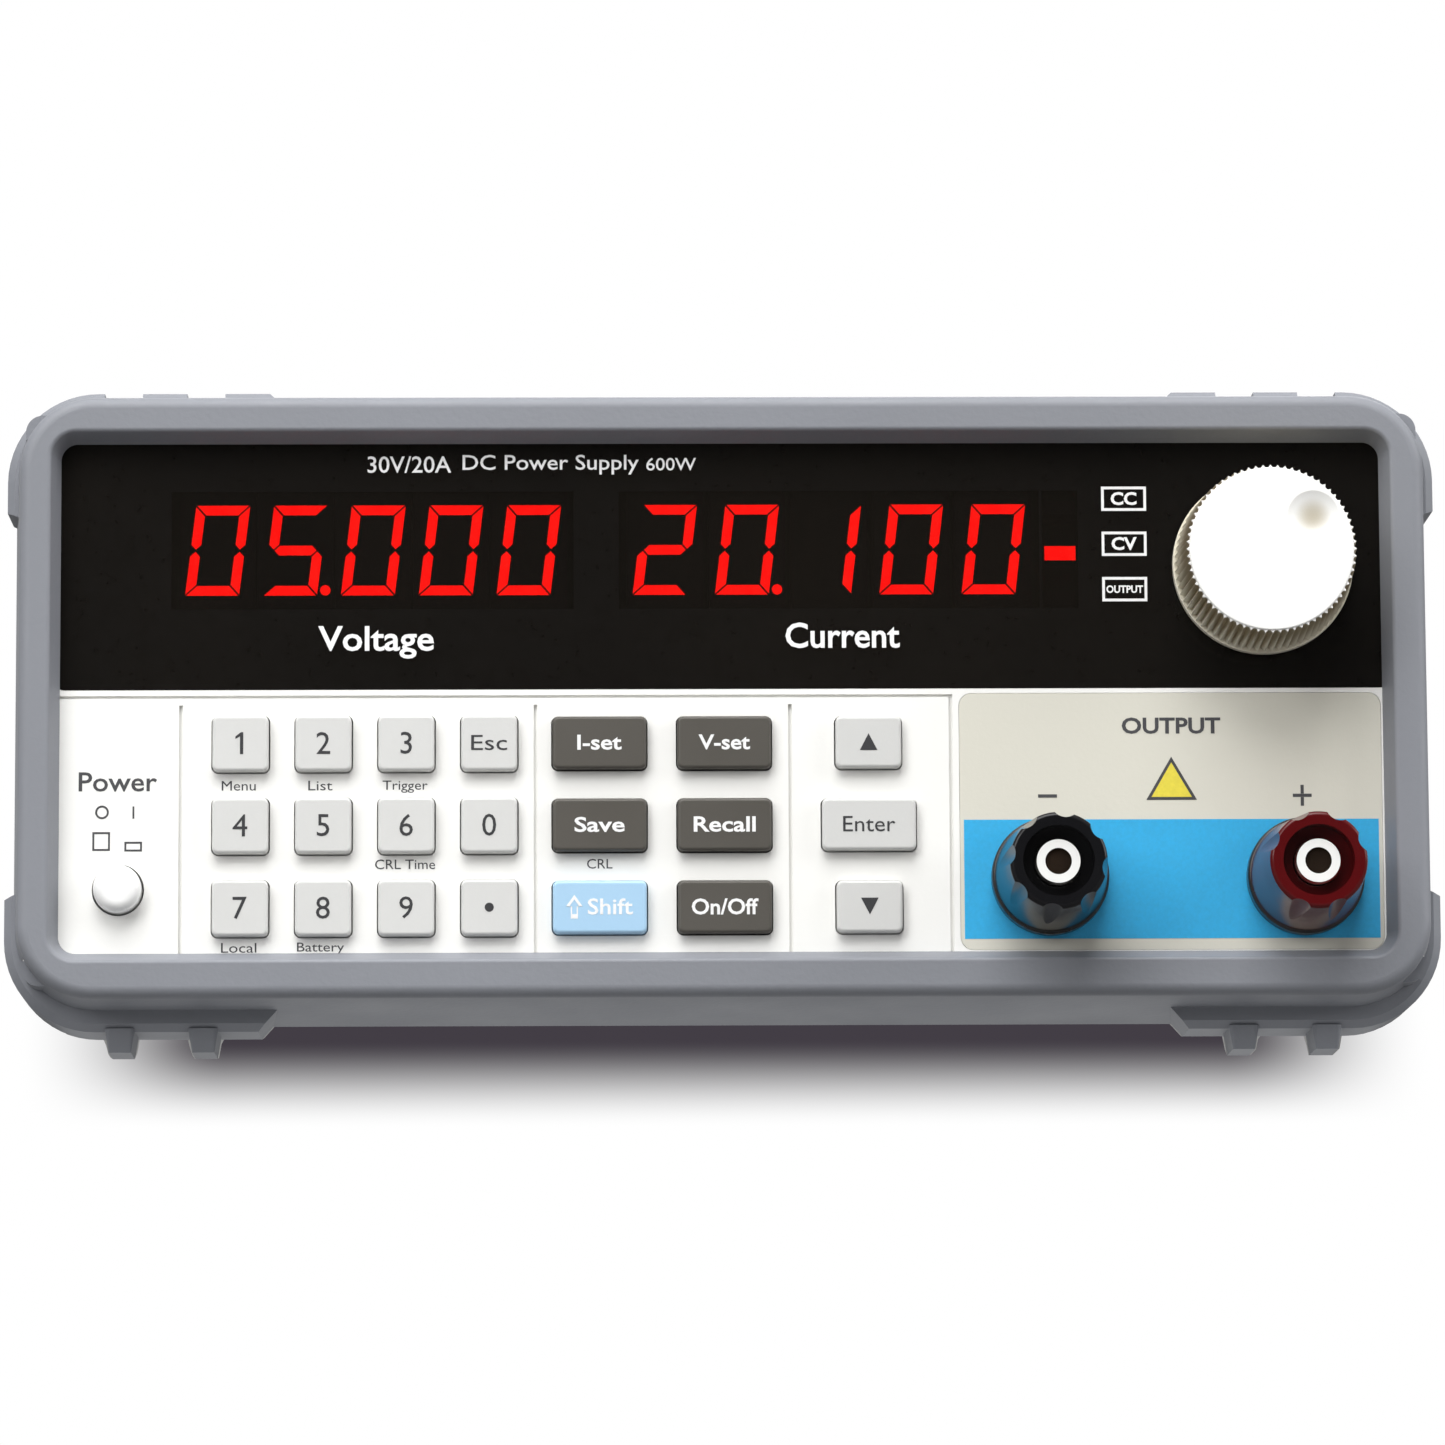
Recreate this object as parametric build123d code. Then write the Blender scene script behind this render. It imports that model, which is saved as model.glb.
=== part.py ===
"""A programmable bench DC power supply, half a rack wide and two units high, as separate pieces.

A steel tray and an inverted-U cover carry a moulded front panel and a steel rear panel. A rubber bumper
is stretched over each end. Everything is built with y = 0 on the front panel's face and z = 0 at the
middle of the case's height, and then moved so that the origin is under the middle of the whole object,
on the surface that the feet stand on. +X is to the right of someone who faces the front, +Y goes
towards the rear and +Z is up. Millimetres.
"""

from build123d import *
import math
import os

# The case.
CASE_W = 214.5
CASE_H = 88.2
CASE_D = 354.6
CASE_CORNER = 2.5
SHEET = 1.0
REAR_SHEET = 1.2
FIT = 0.05

# The bumpers: y from minus the nose to BUMPER_SLEEVE. The rear one is deeper, to guard the plugs.
FRONT_NOSE = 4.2
FRONT_MOUTH_TAPER = 19.0
REAR_NOSE = 8.0
REAR_MOUTH_TAPER = 10.6
BUMPER_SLEEVE = 19.5
BUMPER_TAPER = 5.5
BUMPER_BACK_W = 220.4
BUMPER_BACK_H = 97.3
BUMPER_BACK_CORNER = 13.6
OPENING_W = 203.4
OPENING_H = 79.0
OPENING_CORNER = 2.6
OPENING_MIDDLE = (-0.2, 0.2)
PAD_START = 6.0
PAD_W = 221.4
PAD_TOP = 49.0
PAD_BOTTOM = -50.6
PAD_CORNER = 14.0
PAD_REACH_X = 65.7
PAD_REACH_Z = 28.0
PAD_END_SLOPE = 2.6
FOOT_X = (80.0, 92.8)
FOOT_Y = (6.2, 18.2)
FOOT_W = 4.7
FOOT_TIP_W = 3.6
FOOT_H = 3.2
GROOVE_W = 5.9
GROOVE_DEPTH = 2.6

# The front panel moulding.
PANEL_FACE = 3.0
PANEL_WALL = 2.5
PANEL_DEPTH = 18.0
WINDOW_W = 207.0
WINDOW_Z = (1.4, 42.0)
WINDOW_THICK = 2.0
WINDOW_CORNER = 2.5
APERTURE_X = (-90.0, 64.0)
APERTURE_Z = (10.0, 37.0)
DIVIDER_X = (-83.3, -28.9, 10.2)
DIVIDER_TOP = -1.0
SEAM_W = 0.55
SEAM_DEPTH = 0.6
PLATE_X = (36.2, 101.2)
PLATE_Z = (-39.1, 0.6)
PLATE_THICK = 0.5
PLATE_CORNER = 2.0
PEG_SPOTS = ((-97.0, 36.0), (-97.0, 5.0), (97.0, 36.0), (97.0, 5.0), (-83.4, -36.0), (31.8, -36.0))

# Keys: name, centre x, centre z, width, height.
ROW_Z = (-7.1, -19.8, -32.5)
PAD_COLUMNS_X = (-74.1, -61.4, -48.7, -36.0)
PAD_KEYS = (
    ("key_1", "key_2", "key_3", "key_escape"),
    ("key_4", "key_5", "key_6", "key_0"),
    ("key_7", "key_8", "key_9", "key_point"),
)
PAD_KEY = (8.6, 8.6)
SET_COLUMNS_X = (-19.1, 0.05)
SET_KEYS = (("key_i_set", "key_v_set"), ("key_save", "key_recall"), ("key_shift", "key_on_off"))
SET_KEY = (14.4, 8.1)
ARROW_X = 22.2
ARROW_KEY = (10.1, 8.0)
ENTER_KEY = (14.4, 8.0)
KEY_GAP = 0.2
KEY_PROUD = 1.8
KEY_STEM_END = 6.0
KEY_TRAVEL = 1.2

# The front electronics.
BOARD_FRONT = 10.2
BOARD_THICK = 1.6
DIGIT_Z = 23.45
DIGIT_BLOCK = (11.8, 8.0, 19.0)
VOLT_DIGITS = (-77.9, 12.0)
AMP_DIGITS = (-8.9, 12.7)
LAMP_X = 52.2
LAMP_ZS = (29.9, 22.8, 15.7)
LAMP_SIZE = (4.8, 2.2)

# The knob and its encoder.
KNOB_X = 83.2
KNOB_Z = 20.3
KNOB_R = 13.8
KNOB_TIP_R = 13.3
KNOB_RIBS = 72
KNOB_RIB_DEPTH = 0.75
KNOB_GAP = 0.8
KNOB_HEIGHT = 16.2
SHAFT_R = 3.0
BUSH_R = 3.5

# The power button.
BUTTON_X = -92.8
BUTTON_Z = -29.5
BUTTON_R = 3.7
BUTTON_PROUD = 3.5
BUTTON_FLANGE_R = 5.2
BUTTON_ROD = 4.0
SWITCH_Y = 70.0

# The binding posts.
POST_XS = (49.9, 89.1)
POST_Z = -28.0
COLLAR_R = 9.0
COLLAR_H = 3.0
CAP_BASE_R = 8.6
CAP_TIP_R = 7.35
CAP_TIP_Y = -22.0
CAP_MOUTH_R = 5.4
CAP_LOBES = 8
STUD_R = 3.55
STUD_TIP_Y = -20.8
SOCKET_R = 2.05
SOCKET_DEPTH = 14.0
WIRE_HOLE_R = 1.6
CLAMP_RING_R = 6.4

# The rear panel's fittings.
REAR_FACE = CASE_D
FAN_X = -52.0
FAN_SIZE = 80.0
FAN_DEPTH = 25.0
FAN_BORE_R = 38.0
FAN_HOLE_PITCH = 71.5
FAN_HUB_R = 17.0
FAN_BLADES = 7
GUARD_WIRE_R = 0.7
GUARD_RINGS = (6.0, 11.0, 16.0, 21.0, 26.0, 31.0, 36.0)
INLET_X = 74.0
INLET_Z = -16.0
INLET_FLANGE = (50.0, 31.0, 2.5)
INLET_BODY = (27.0, 29.6)
INLET_DEPTH = 27.0
INLET_RECESS = (24.5, 16.8, 17.0)
RECESS_RISE = 5.4
INLET_SCREW_PITCH = 40.0
PIN_PITCH = 14.0
DRAWER = (21.6, 6.6, 22.0)
DRAWER_DROP = -9.6
PORT_X = 74.0
PORT_Z = 22.0
JACK_PITCH = 25.0
SENSE_X = 18.0
SENSE_Z = 22.0
SENSE_BLOCK = (26.0, 12.0, 12.0)
SENSE_PITCH = 5.6

# Inside the case.
INNER_FLOOR = -CASE_H / 2 + SHEET
STANDOFF = 8.0
MAIN_BOARD_X = (-76.0, 100.0)
MAIN_BOARD_Y = (62.0, 318.0)
MAIN_BOARD_TOP = INNER_FLOOR + STANDOFF + BOARD_THICK
SIDE_SCREW_YS = (60.0, 186.0, 312.0)
SIDE_SCREW_Z = -36.5
SLOT_W = 3.0
SLOT_H = 20.0
SLOT_PITCH = 7.0
SLOTS_A_ROW = 16
SLOT_ROW_ZS = (-11.0, 17.0)
SLOT_GROUP_Y = 110.0
LEAD_R = 2.0

# Where the whole object stands.
FOOT_BOTTOM = PAD_BOTTOM - FOOT_H
OVERALL_FRONT = CAP_TIP_Y
OVERALL_REAR = CASE_D + REAR_NOSE
SHIFT = Pos(0, -(OVERALL_FRONT + OVERALL_REAR) / 2, -FOOT_BOTTOM)


def facing_front(y, x=0.0, z=0.0):
    """A sketch plane at depth y: its x is +X, its y is +Z, and it extrudes towards the front."""
    return Plane(origin=(x, y, z), x_dir=(1, 0, 0), z_dir=(0, -1, 0))


def block(x_range, y_range, z_range):
    """A box given by its three ranges."""
    sizes = [r[1] - r[0] for r in (x_range, y_range, z_range)]
    middle = [(r[0] + r[1]) / 2 for r in (x_range, y_range, z_range)]
    return Pos(*middle) * Box(*sizes)


def rounded(width, height, corner, y_front, y_back, x=0.0, z=0.0, taper=0.0):
    """A rounded rectangle across X and Z, carried along Y. A positive taper makes its front smaller."""
    outline = facing_front(y_back, x, z) * RectangleRounded(width, height, corner)
    return extrude(outline, amount=y_back - y_front, taper=taper)


def rod(radius, y_front, y_back, x=0.0, z=0.0, taper=0.0):
    """A cylinder along Y. A positive taper makes its front smaller."""
    return extrude(facing_front(y_back, x, z) * Circle(radius), amount=y_back - y_front, taper=taper)


def at_rear(shape):
    """The same shape at the other end of the case, facing the rear."""
    return mirror(shape, about=Plane.XZ.offset(-CASE_D / 2))


# Bumpers.


def bumper_pads():
    """The four thick corners that stand proud of the bumper's ring."""
    height = PAD_TOP - PAD_BOTTOM
    middle_z = (PAD_TOP + PAD_BOTTOM) / 2
    pads = rounded(PAD_W, height, PAD_CORNER, PAD_START, BUMPER_SLEEVE, z=middle_z)
    pads = chamfer(pads.edges().group_by(Axis.Y)[0], 1.2)
    far = 60.0
    reach = PAD_REACH_X
    flare = reach + (far - CASE_H / 2) * 0.9
    gap_x = Polyline(
        (-flare, far), (flare, far), (reach, CASE_H / 2), (reach, -CASE_H / 2),
        (flare, -far), (-flare, -far), (-reach, -CASE_H / 2), (-reach, CASE_H / 2), close=True,
    )
    side = PAD_W / 2 + 1
    middle = facing_front(BUMPER_SLEEVE) * make_face(gap_x)
    pads -= extrude(middle, amount=BUMPER_SLEEVE)
    low, high = PAD_REACH_Z, PAD_REACH_Z + PAD_END_SLOPE
    for facing in (-1, 1):
        outer, inner = facing * side, facing * (side - 6.0)
        gap_z = Polyline((outer, -high), (outer, high), (inner, low), (inner, -low), close=True)
        pads -= extrude(facing_front(BUMPER_SLEEVE) * make_face(gap_z), amount=BUMPER_SLEEVE)
    return pads


def bumper_feet():
    """The tapered feet under the corners. They sit in the grooves of a unit below."""
    slope = math.degrees(math.atan((FOOT_W - FOOT_TIP_W) / 2 / FOOT_H))
    outline = RectangleRounded(FOOT_W, FOOT_Y[1] - FOOT_Y[0], 0.8)
    feet = []
    for foot_x in FOOT_X:
        for side in (-1, 1):
            spot = (side * foot_x, sum(FOOT_Y) / 2, PAD_BOTTOM + 0.5)
            under = Plane(origin=spot, x_dir=(1, 0, 0), z_dir=(0, 0, -1))
            feet.append(extrude(under * outline, amount=FOOT_H + 0.5, taper=slope))
    return feet


def bumper(nose, mouth_taper):
    """A soft ring over the case's edge, with corner pads, grooves on top and feet below."""
    back = (BUMPER_BACK_W, BUMPER_BACK_H, BUMPER_BACK_CORNER)
    outer = rounded(*back, -nose, BUMPER_SLEEVE, taper=BUMPER_TAPER)
    outer = fillet(outer.edges().group_by(Axis.Y)[0], 1.8)
    ring = outer + bumper_pads()
    for foot in bumper_feet():
        ring += foot
    for foot_x in FOOT_X:
        for side in (-1, 1):
            x = side * foot_x
            across = (x - GROOVE_W / 2, x + GROOVE_W / 2)
            ring -= block(across, (PAD_START - 1, BUMPER_SLEEVE + 1), (PAD_TOP - GROOVE_DEPTH, PAD_TOP + 1))
    sleeve = rounded(CASE_W + 2 * FIT, CASE_H + 2 * FIT, CASE_CORNER, 0, BUMPER_SLEEVE + 1)
    opening = (OPENING_W, OPENING_H, OPENING_CORNER)
    ring = ring - sleeve - rounded(*opening, -nose - 1, 0, *OPENING_MIDDLE, taper=-mouth_taper)
    rim = ring.edges().filter_by_position(Axis.Y, -nose - 0.01, -nose + 0.01)
    inner_rim = [e for e in rim if abs(e.center().X) < CASE_W / 2 - 2 and abs(e.center().Z) < CASE_H / 2 - 2]
    return fillet(inner_rim, 0.7)


# Sheet metal.


def side_slots():
    """Tall vent slots that go through both sides of the cover."""
    across = Plane(origin=(-CASE_W, SLOT_GROUP_Y, 0), x_dir=(0, 1, 0), z_dir=(1, 0, 0))
    middle_z = sum(SLOT_ROW_ZS) / 2
    spots = GridLocations(SLOT_PITCH, SLOT_ROW_ZS[1] - SLOT_ROW_ZS[0], SLOTS_A_ROW, 2)
    slots = Sketch() + [Pos(0, middle_z) * spot * SlotOverall(SLOT_H, SLOT_W, rotation=90) for spot in spots]
    return extrude(across * slots, amount=2 * CASE_W)


def side_screw_spots():
    """Where the cover is screwed to the tray: (side, y)."""
    return [(side, y) for side in (-1, 1) for y in SIDE_SCREW_YS]


def side_screw_holes(radius):
    """Cross holes for the cover's screws, through cover and flange on one side each."""
    holes = []
    for side, y in side_screw_spots():
        spot = Plane(origin=(side * CASE_W / 2, y, SIDE_SCREW_Z), x_dir=(0, 1, 0), z_dir=(-side, 0, 0))
        holes.append(extrude(spot * Circle(radius), amount=4))
    return holes


def top_cover():
    """One sheet bent to an inverted U: the top and both sides."""
    front, back = PANEL_DEPTH + 0.2, CASE_D - REAR_SHEET - 0.1
    cover = rounded(CASE_W, CASE_H, CASE_CORNER, front, back)
    cover -= rounded(CASE_W - 2 * SHEET, CASE_H - 2 * SHEET, CASE_CORNER - SHEET, front - 1, back + 1)
    inside = CASE_W / 2 - SHEET
    cover -= block((-inside, inside), (front - 1, back + 1), (-CASE_H / 2 - 1, INNER_FLOOR + 0.5))
    cover -= block((-CASE_W, CASE_W), (front - 1, back + 1), (-CASE_H, -CASE_H / 2 + CASE_CORNER))
    cover -= side_slots()
    for hole in side_screw_holes(1.7):
        cover -= hole
    return cover


def base_tray():
    """The floor of the case, with turned-up flanges, drawn bosses for the board and the switch's lug."""
    half = CASE_W / 2 - SHEET - FIT
    front, back = PANEL_DEPTH + 0.2, CASE_D - REAR_SHEET - 0.1
    bottom = -CASE_H / 2
    flange_top = bottom + 14.0
    tray = block((-half, half), (front, back), (bottom, INNER_FLOOR))
    for side in (-1, 1):
        edge = sorted((side * half, side * (half - SHEET)))
        tray += block(edge, (front, back), (bottom, flange_top))
    tray += block((-half, half), (front, front + SHEET), (bottom, bottom + 9.0))
    tray += block((-half, half), (back - SHEET, back), (bottom, bottom + 3.8))
    for x in (MAIN_BOARD_X[0] + 6, MAIN_BOARD_X[1] - 6):
        for y in (MAIN_BOARD_Y[0] + 6, sum(MAIN_BOARD_Y) / 2, MAIN_BOARD_Y[1] - 6):
            standing = (Align.CENTER, Align.CENTER, Align.MIN)
            tray += Pos(x, y, INNER_FLOOR - 0.2) * Cylinder(3.5, STANDOFF + 0.2, align=standing)
    lug_x = (BUTTON_X - 9.0, BUTTON_X + 9.0)
    lug = block(lug_x, (SWITCH_Y - SHEET, SWITCH_Y), (INNER_FLOOR - 0.2, BUTTON_Z + 9.0))
    lug -= rod(3.2, SWITCH_Y - 2, SWITCH_Y + 1, BUTTON_X, BUTTON_Z)
    tray += lug
    for hole in side_screw_holes(1.45):
        tray -= hole
    return tray & rounded(CASE_W, CASE_H, CASE_CORNER, front - 1, back + 1)


def rear_cutouts():
    """Everything that is punched out of the rear panel."""
    y = (REAR_FACE - REAR_SHEET - 1, REAR_FACE + 1)
    holes = [rod(FAN_BORE_R, *y, x=FAN_X)]
    for x, z in fan_screw_spots():
        holes.append(rod(2.15, *y, x=x, z=z))
    inlet = (INLET_BODY[0] + 0.4) / 2, (INLET_BODY[1] + 0.4) / 2
    holes.append(block((INLET_X - inlet[0], INLET_X + inlet[0]), y, (INLET_Z - inlet[1], INLET_Z + inlet[1])))
    for side in (-1, 1):
        holes.append(rod(1.7, *y, x=INLET_X + side * INLET_SCREW_PITCH / 2, z=INLET_Z))
        holes.append(rod(1.7, *y, x=PORT_X + side * JACK_PITCH / 2, z=PORT_Z))
    holes.append(block((PORT_X - 9.6, PORT_X + 9.6), y, (PORT_Z - 5.3, PORT_Z + 5.3)))
    half = SENSE_BLOCK[0] / 2 + 0.2
    holes.append(block((SENSE_X - half, SENSE_X + half), y, (SENSE_Z - 6.2, SENSE_Z + 6.2)))
    return holes


def rear_panel():
    """A flat steel plate that closes the rear."""
    plate = rounded(CASE_W, CASE_H, CASE_CORNER, REAR_FACE - REAR_SHEET, REAR_FACE)
    for hole in rear_cutouts():
        plate -= hole
    return plate


# The front panel, its window and its label plate.


def key_table():
    """Every key as (name, x, z, width, height)."""
    table = []
    for names, z in zip(PAD_KEYS, ROW_Z):
        table += [(name, x, z, *PAD_KEY) for name, x in zip(names, PAD_COLUMNS_X)]
    for names, z in zip(SET_KEYS, ROW_Z):
        table += [(name, x, z, *SET_KEY) for name, x in zip(names, SET_COLUMNS_X)]
    table.append(("key_up", ARROW_X, ROW_Z[0], *ARROW_KEY))
    table.append(("key_enter", ARROW_X, ROW_Z[1], *ENTER_KEY))
    table.append(("key_down", ARROW_X, ROW_Z[2], *ARROW_KEY))
    return table


def front_panel():
    """The moulded front: a shallow tray with key holes, grooves and seats for window and plate."""
    panel = rounded(CASE_W - 0.1, CASE_H - 0.1, CASE_CORNER, 0, PANEL_DEPTH)
    inner_w = CASE_W - 2 * PANEL_WALL
    inner_h = CASE_H - 2 * PANEL_WALL
    panel -= rounded(inner_w, inner_h, 1.5, PANEL_FACE, PANEL_DEPTH + 1)
    window_h = WINDOW_Z[1] - WINDOW_Z[0] + 2 * FIT
    window_mid = (WINDOW_Z[0] + WINDOW_Z[1]) / 2
    panel -= rounded(WINDOW_W + 2 * FIT, window_h, WINDOW_CORNER, -1, WINDOW_THICK, z=window_mid)
    panel -= block(APERTURE_X, (0, PANEL_FACE + 1), APERTURE_Z)
    for _, x, z, width, height in key_table():
        panel -= rounded(width + 2 * KEY_GAP, height + 2 * KEY_GAP, 1.1, -1, PANEL_FACE + 1, x, z)
    seam_foot = -CASE_H / 2 + 3.4
    for x in DIVIDER_X:
        panel -= block((x - SEAM_W / 2, x + SEAM_W / 2), (-1, SEAM_DEPTH), (seam_foot, DIVIDER_TOP))
    frame_x = PLATE_X[0] - 1.3
    panel -= block((frame_x - SEAM_W / 2, frame_x + SEAM_W / 2), (-1, SEAM_DEPTH), (seam_foot, 0.5))
    panel -= block((-CASE_W / 2 + 4, frame_x), (-1, SEAM_DEPTH), (0.05, 0.5))
    plate_w = PLATE_X[1] - PLATE_X[0] + 2 * FIT
    plate_h = PLATE_Z[1] - PLATE_Z[0] + 2 * FIT
    plate_mid = sum(PLATE_X) / 2, sum(PLATE_Z) / 2
    panel -= rounded(plate_w, plate_h, PLATE_CORNER, -1, PLATE_THICK, *plate_mid)
    for x in POST_XS:
        panel -= rod(4.6, -1, PANEL_FACE + 1, x, POST_Z)
    panel -= rod(BUTTON_R + 0.3, -1, PANEL_FACE + 1, BUTTON_X, BUTTON_Z)
    panel -= rod(BUSH_R + 0.25, -1, PANEL_FACE + 1, KNOB_X, KNOB_Z)
    for x, z in PEG_SPOTS:
        panel += rod(3.0, PANEL_FACE - 0.5, BOARD_FRONT, x, z)
        panel += rod(1.25, BOARD_FRONT - 1, BOARD_FRONT + BOARD_THICK + 0.8, x, z)
    return panel


def display_window():
    """Smoked acrylic over the digits, with a hole for the encoder."""
    height = WINDOW_Z[1] - WINDOW_Z[0]
    window = rounded(WINDOW_W, height, WINDOW_CORNER, 0, WINDOW_THICK, z=sum(WINDOW_Z) / 2)
    return window - rod(BUSH_R + 0.25, -1, WINDOW_THICK + 1, KNOB_X, KNOB_Z)


def output_plate():
    """The printed plate that the binding posts clamp."""
    width, height = PLATE_X[1] - PLATE_X[0], PLATE_Z[1] - PLATE_Z[0]
    middle = sum(PLATE_X) / 2, sum(PLATE_Z) / 2
    plate = rounded(width, height, PLATE_CORNER, 0, PLATE_THICK, *middle)
    for x in POST_XS:
        plate -= rod(4.6, -1, PLATE_THICK + 1, x, POST_Z)
    return plate


# Keys, button and knob.


def key_cap(x, z, width, height):
    """A key: a filleted cap that fills its hole, a flange behind the panel and a stem for its dome."""
    cap = rounded(width, height, 0.9, -KEY_PROUD, PANEL_FACE + 1.0, x, z)
    cap = fillet(cap.edges().group_by(Axis.Y)[0], 0.5)
    flange_front = PANEL_FACE + 0.05
    cap += rounded(width + 1.6, height + 1.6, 1.2, flange_front, flange_front + 0.9, x, z)
    return cap + rounded(width - 3.0, height - 3.0, 0.8, PANEL_FACE, KEY_STEM_END, x, z)


def power_button():
    """A domed button on a long stem that reaches the mains switch."""
    dome = rod(BUTTON_R, -BUTTON_PROUD, PANEL_FACE + 2.5, BUTTON_X, BUTTON_Z)
    dome = fillet(dome.edges().group_by(Axis.Y)[0], 1.6)
    flange_front = PANEL_FACE + 0.05
    dome += rod(BUTTON_FLANGE_R, flange_front, flange_front + 1.2, BUTTON_X, BUTTON_Z)
    half = BUTTON_ROD / 2
    stem_y = (PANEL_FACE + 2, SWITCH_Y - 4.0)
    return dome + block((BUTTON_X - half, BUTTON_X + half), stem_y, (BUTTON_Z - half, BUTTON_Z + half))


def power_switch():
    """A latching mains switch behind the tray's lug, with its blades."""
    body_y = (SWITCH_Y + 0.05, SWITCH_Y + 22.0)
    switch = block((BUTTON_X - 6.5, BUTTON_X + 6.5), body_y, (BUTTON_Z - 7.5, BUTTON_Z + 7.5))
    blade_y = (body_y[1] - 1, body_y[1] + 7.0)
    for x in (BUTTON_X - 3.2, BUTTON_X + 3.2):
        for z in (BUTTON_Z - 4.0, BUTTON_Z + 4.0):
            switch += block((x - 0.4, x + 0.4), blade_y, (z - 1.6, z + 1.6))
    return switch


def ribbed_outline(radius, depth, ribs):
    """A closed outline with a straight-sided rib for each of its equal steps round a circle."""
    corners = []
    for i in range(2 * ribs):
        angle = math.pi * i / ribs
        r = radius if i % 2 == 0 else radius - depth
        corners.append((r * math.cos(angle), r * math.sin(angle)))
    return make_face(Polyline(*corners, close=True))


def knob():
    """The tuning knob: a plain base ring, fine ribs, a flat face and a dimple for one fingertip."""
    base_y = -KNOB_GAP
    tip_y = base_y - KNOB_HEIGHT
    slope = math.degrees(math.atan((KNOB_R - KNOB_TIP_R) / KNOB_HEIGHT))
    ribs = facing_front(base_y, KNOB_X, KNOB_Z) * ribbed_outline(KNOB_R, KNOB_RIB_DEPTH, KNOB_RIBS)
    body = extrude(ribs, amount=KNOB_HEIGHT - 0.25, taper=slope)
    body += rod(KNOB_R + 0.1, base_y - 1.6, base_y, KNOB_X, KNOB_Z)
    face = rod(KNOB_TIP_R - KNOB_RIB_DEPTH, tip_y, tip_y + 2.0, KNOB_X, KNOB_Z)
    body += fillet(face.edges().group_by(Axis.Y)[0], 0.25)
    dimple_r = 10.0
    dimple_spot = Pos(KNOB_X + 6.4, tip_y - dimple_r + 0.8, KNOB_Z + 5.0)
    body -= dimple_spot * Sphere(dimple_r)
    body -= rod(8.0, base_y - 5.0, base_y + 1, KNOB_X, KNOB_Z)
    return body - rod(SHAFT_R + 0.02, base_y - 12.0, base_y + 1, KNOB_X, KNOB_Z)


def encoder_body():
    """The rotary encoder on the board, with the threaded bush that comes through the panel."""
    y = (PANEL_FACE + 0.7, BOARD_FRONT)
    case = block((KNOB_X - 6.2, KNOB_X + 6.2), y, (KNOB_Z - 6.2, KNOB_Z + 6.2))
    case += rod(BUSH_R, -4.5, y[0] + 1, KNOB_X, KNOB_Z)
    return case - rod(SHAFT_R + 0.06, -6, y[0] + 3.0, KNOB_X, KNOB_Z)


def encoder_shaft():
    """The shaft that turns in the bush and carries the knob."""
    return rod(SHAFT_R, -KNOB_GAP - 11.8, PANEL_FACE + 3.0, KNOB_X, KNOB_Z)


# Display parts behind the window.


def digit_blocks():
    """Ten seven-segment modules in two groups of five."""
    width, depth, height = DIGIT_BLOCK
    y = (BOARD_FRONT - depth, BOARD_FRONT)
    z = (DIGIT_Z - height / 2, DIGIT_Z + height / 2)
    modules = []
    for first_x, pitch in (VOLT_DIGITS, AMP_DIGITS):
        for i in range(5):
            x = first_x + i * pitch
            modules.append(block((x - width / 2, x + width / 2), y, z))
    return Compound(modules)


def status_lamps():
    """Three bar lamps beside the mode names."""
    width, height = LAMP_SIZE
    lamps = []
    for z in LAMP_ZS:
        y = (BOARD_FRONT - 7.9, BOARD_FRONT)
        lamps.append(block((LAMP_X - width / 2, LAMP_X + width / 2), y, (z - height / 2, z + height / 2)))
    return Compound(lamps)


def front_board():
    """The L-shaped circuit board for digits, lamps, encoder and key contacts."""
    outline = Polyline(
        (-100, 38.5), (100, 38.5), (100, 2.5), (35, 2.5), (35, -39), (-87, -39), (-87, 2.5), (-100, 2.5),
        close=True,
    )
    board = extrude(facing_front(BOARD_FRONT + BOARD_THICK) * make_face(outline), amount=BOARD_THICK)
    for x, z in PEG_SPOTS:
        board -= rod(1.35, BOARD_FRONT - 1, BOARD_FRONT + BOARD_THICK + 1, x, z)
    return board


def keypad_mat():
    """The silicone sheet under the keys, with a dome at each key."""
    left, right = PAD_COLUMNS_X[0] - 7.0, ARROW_X + 9.0
    sheet_y = (BOARD_FRONT - 1.5, BOARD_FRONT)
    mat = block((left, right), sheet_y, (ROW_Z[2] - 6.0, ROW_Z[0] + 6.0))
    for x, z in PEG_SPOTS[4:]:
        mat -= rod(3.3, sheet_y[0] - 1, sheet_y[1] + 1, x, z)
    dome_y = KEY_STEM_END + KEY_TRAVEL + 0.1
    for _, x, z, _, _ in key_table():
        mat += rod(2.6, dome_y, sheet_y[0] + 0.5, x, z, taper=20)
    return mat


# Binding posts.


def post_studs():
    """Two plated studs: a 4 mm socket in front, a cross hole for bare wire and a threaded tail."""
    studs = []
    for x in POST_XS:
        stud = rod(STUD_R, STUD_TIP_Y, PANEL_FACE + 17.0, x, POST_Z)
        stud = chamfer(stud.edges().group_by(Axis.Y)[0], 0.35)
        stud -= rod(SOCKET_R, STUD_TIP_Y - 1, STUD_TIP_Y + SOCKET_DEPTH, x, POST_Z)
        stud -= Pos(x, -COLLAR_H - WIRE_HOLE_R - 0.3, POST_Z) * Cylinder(WIRE_HOLE_R, 20)
        studs.append(stud)
    return Compound(studs)


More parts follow.
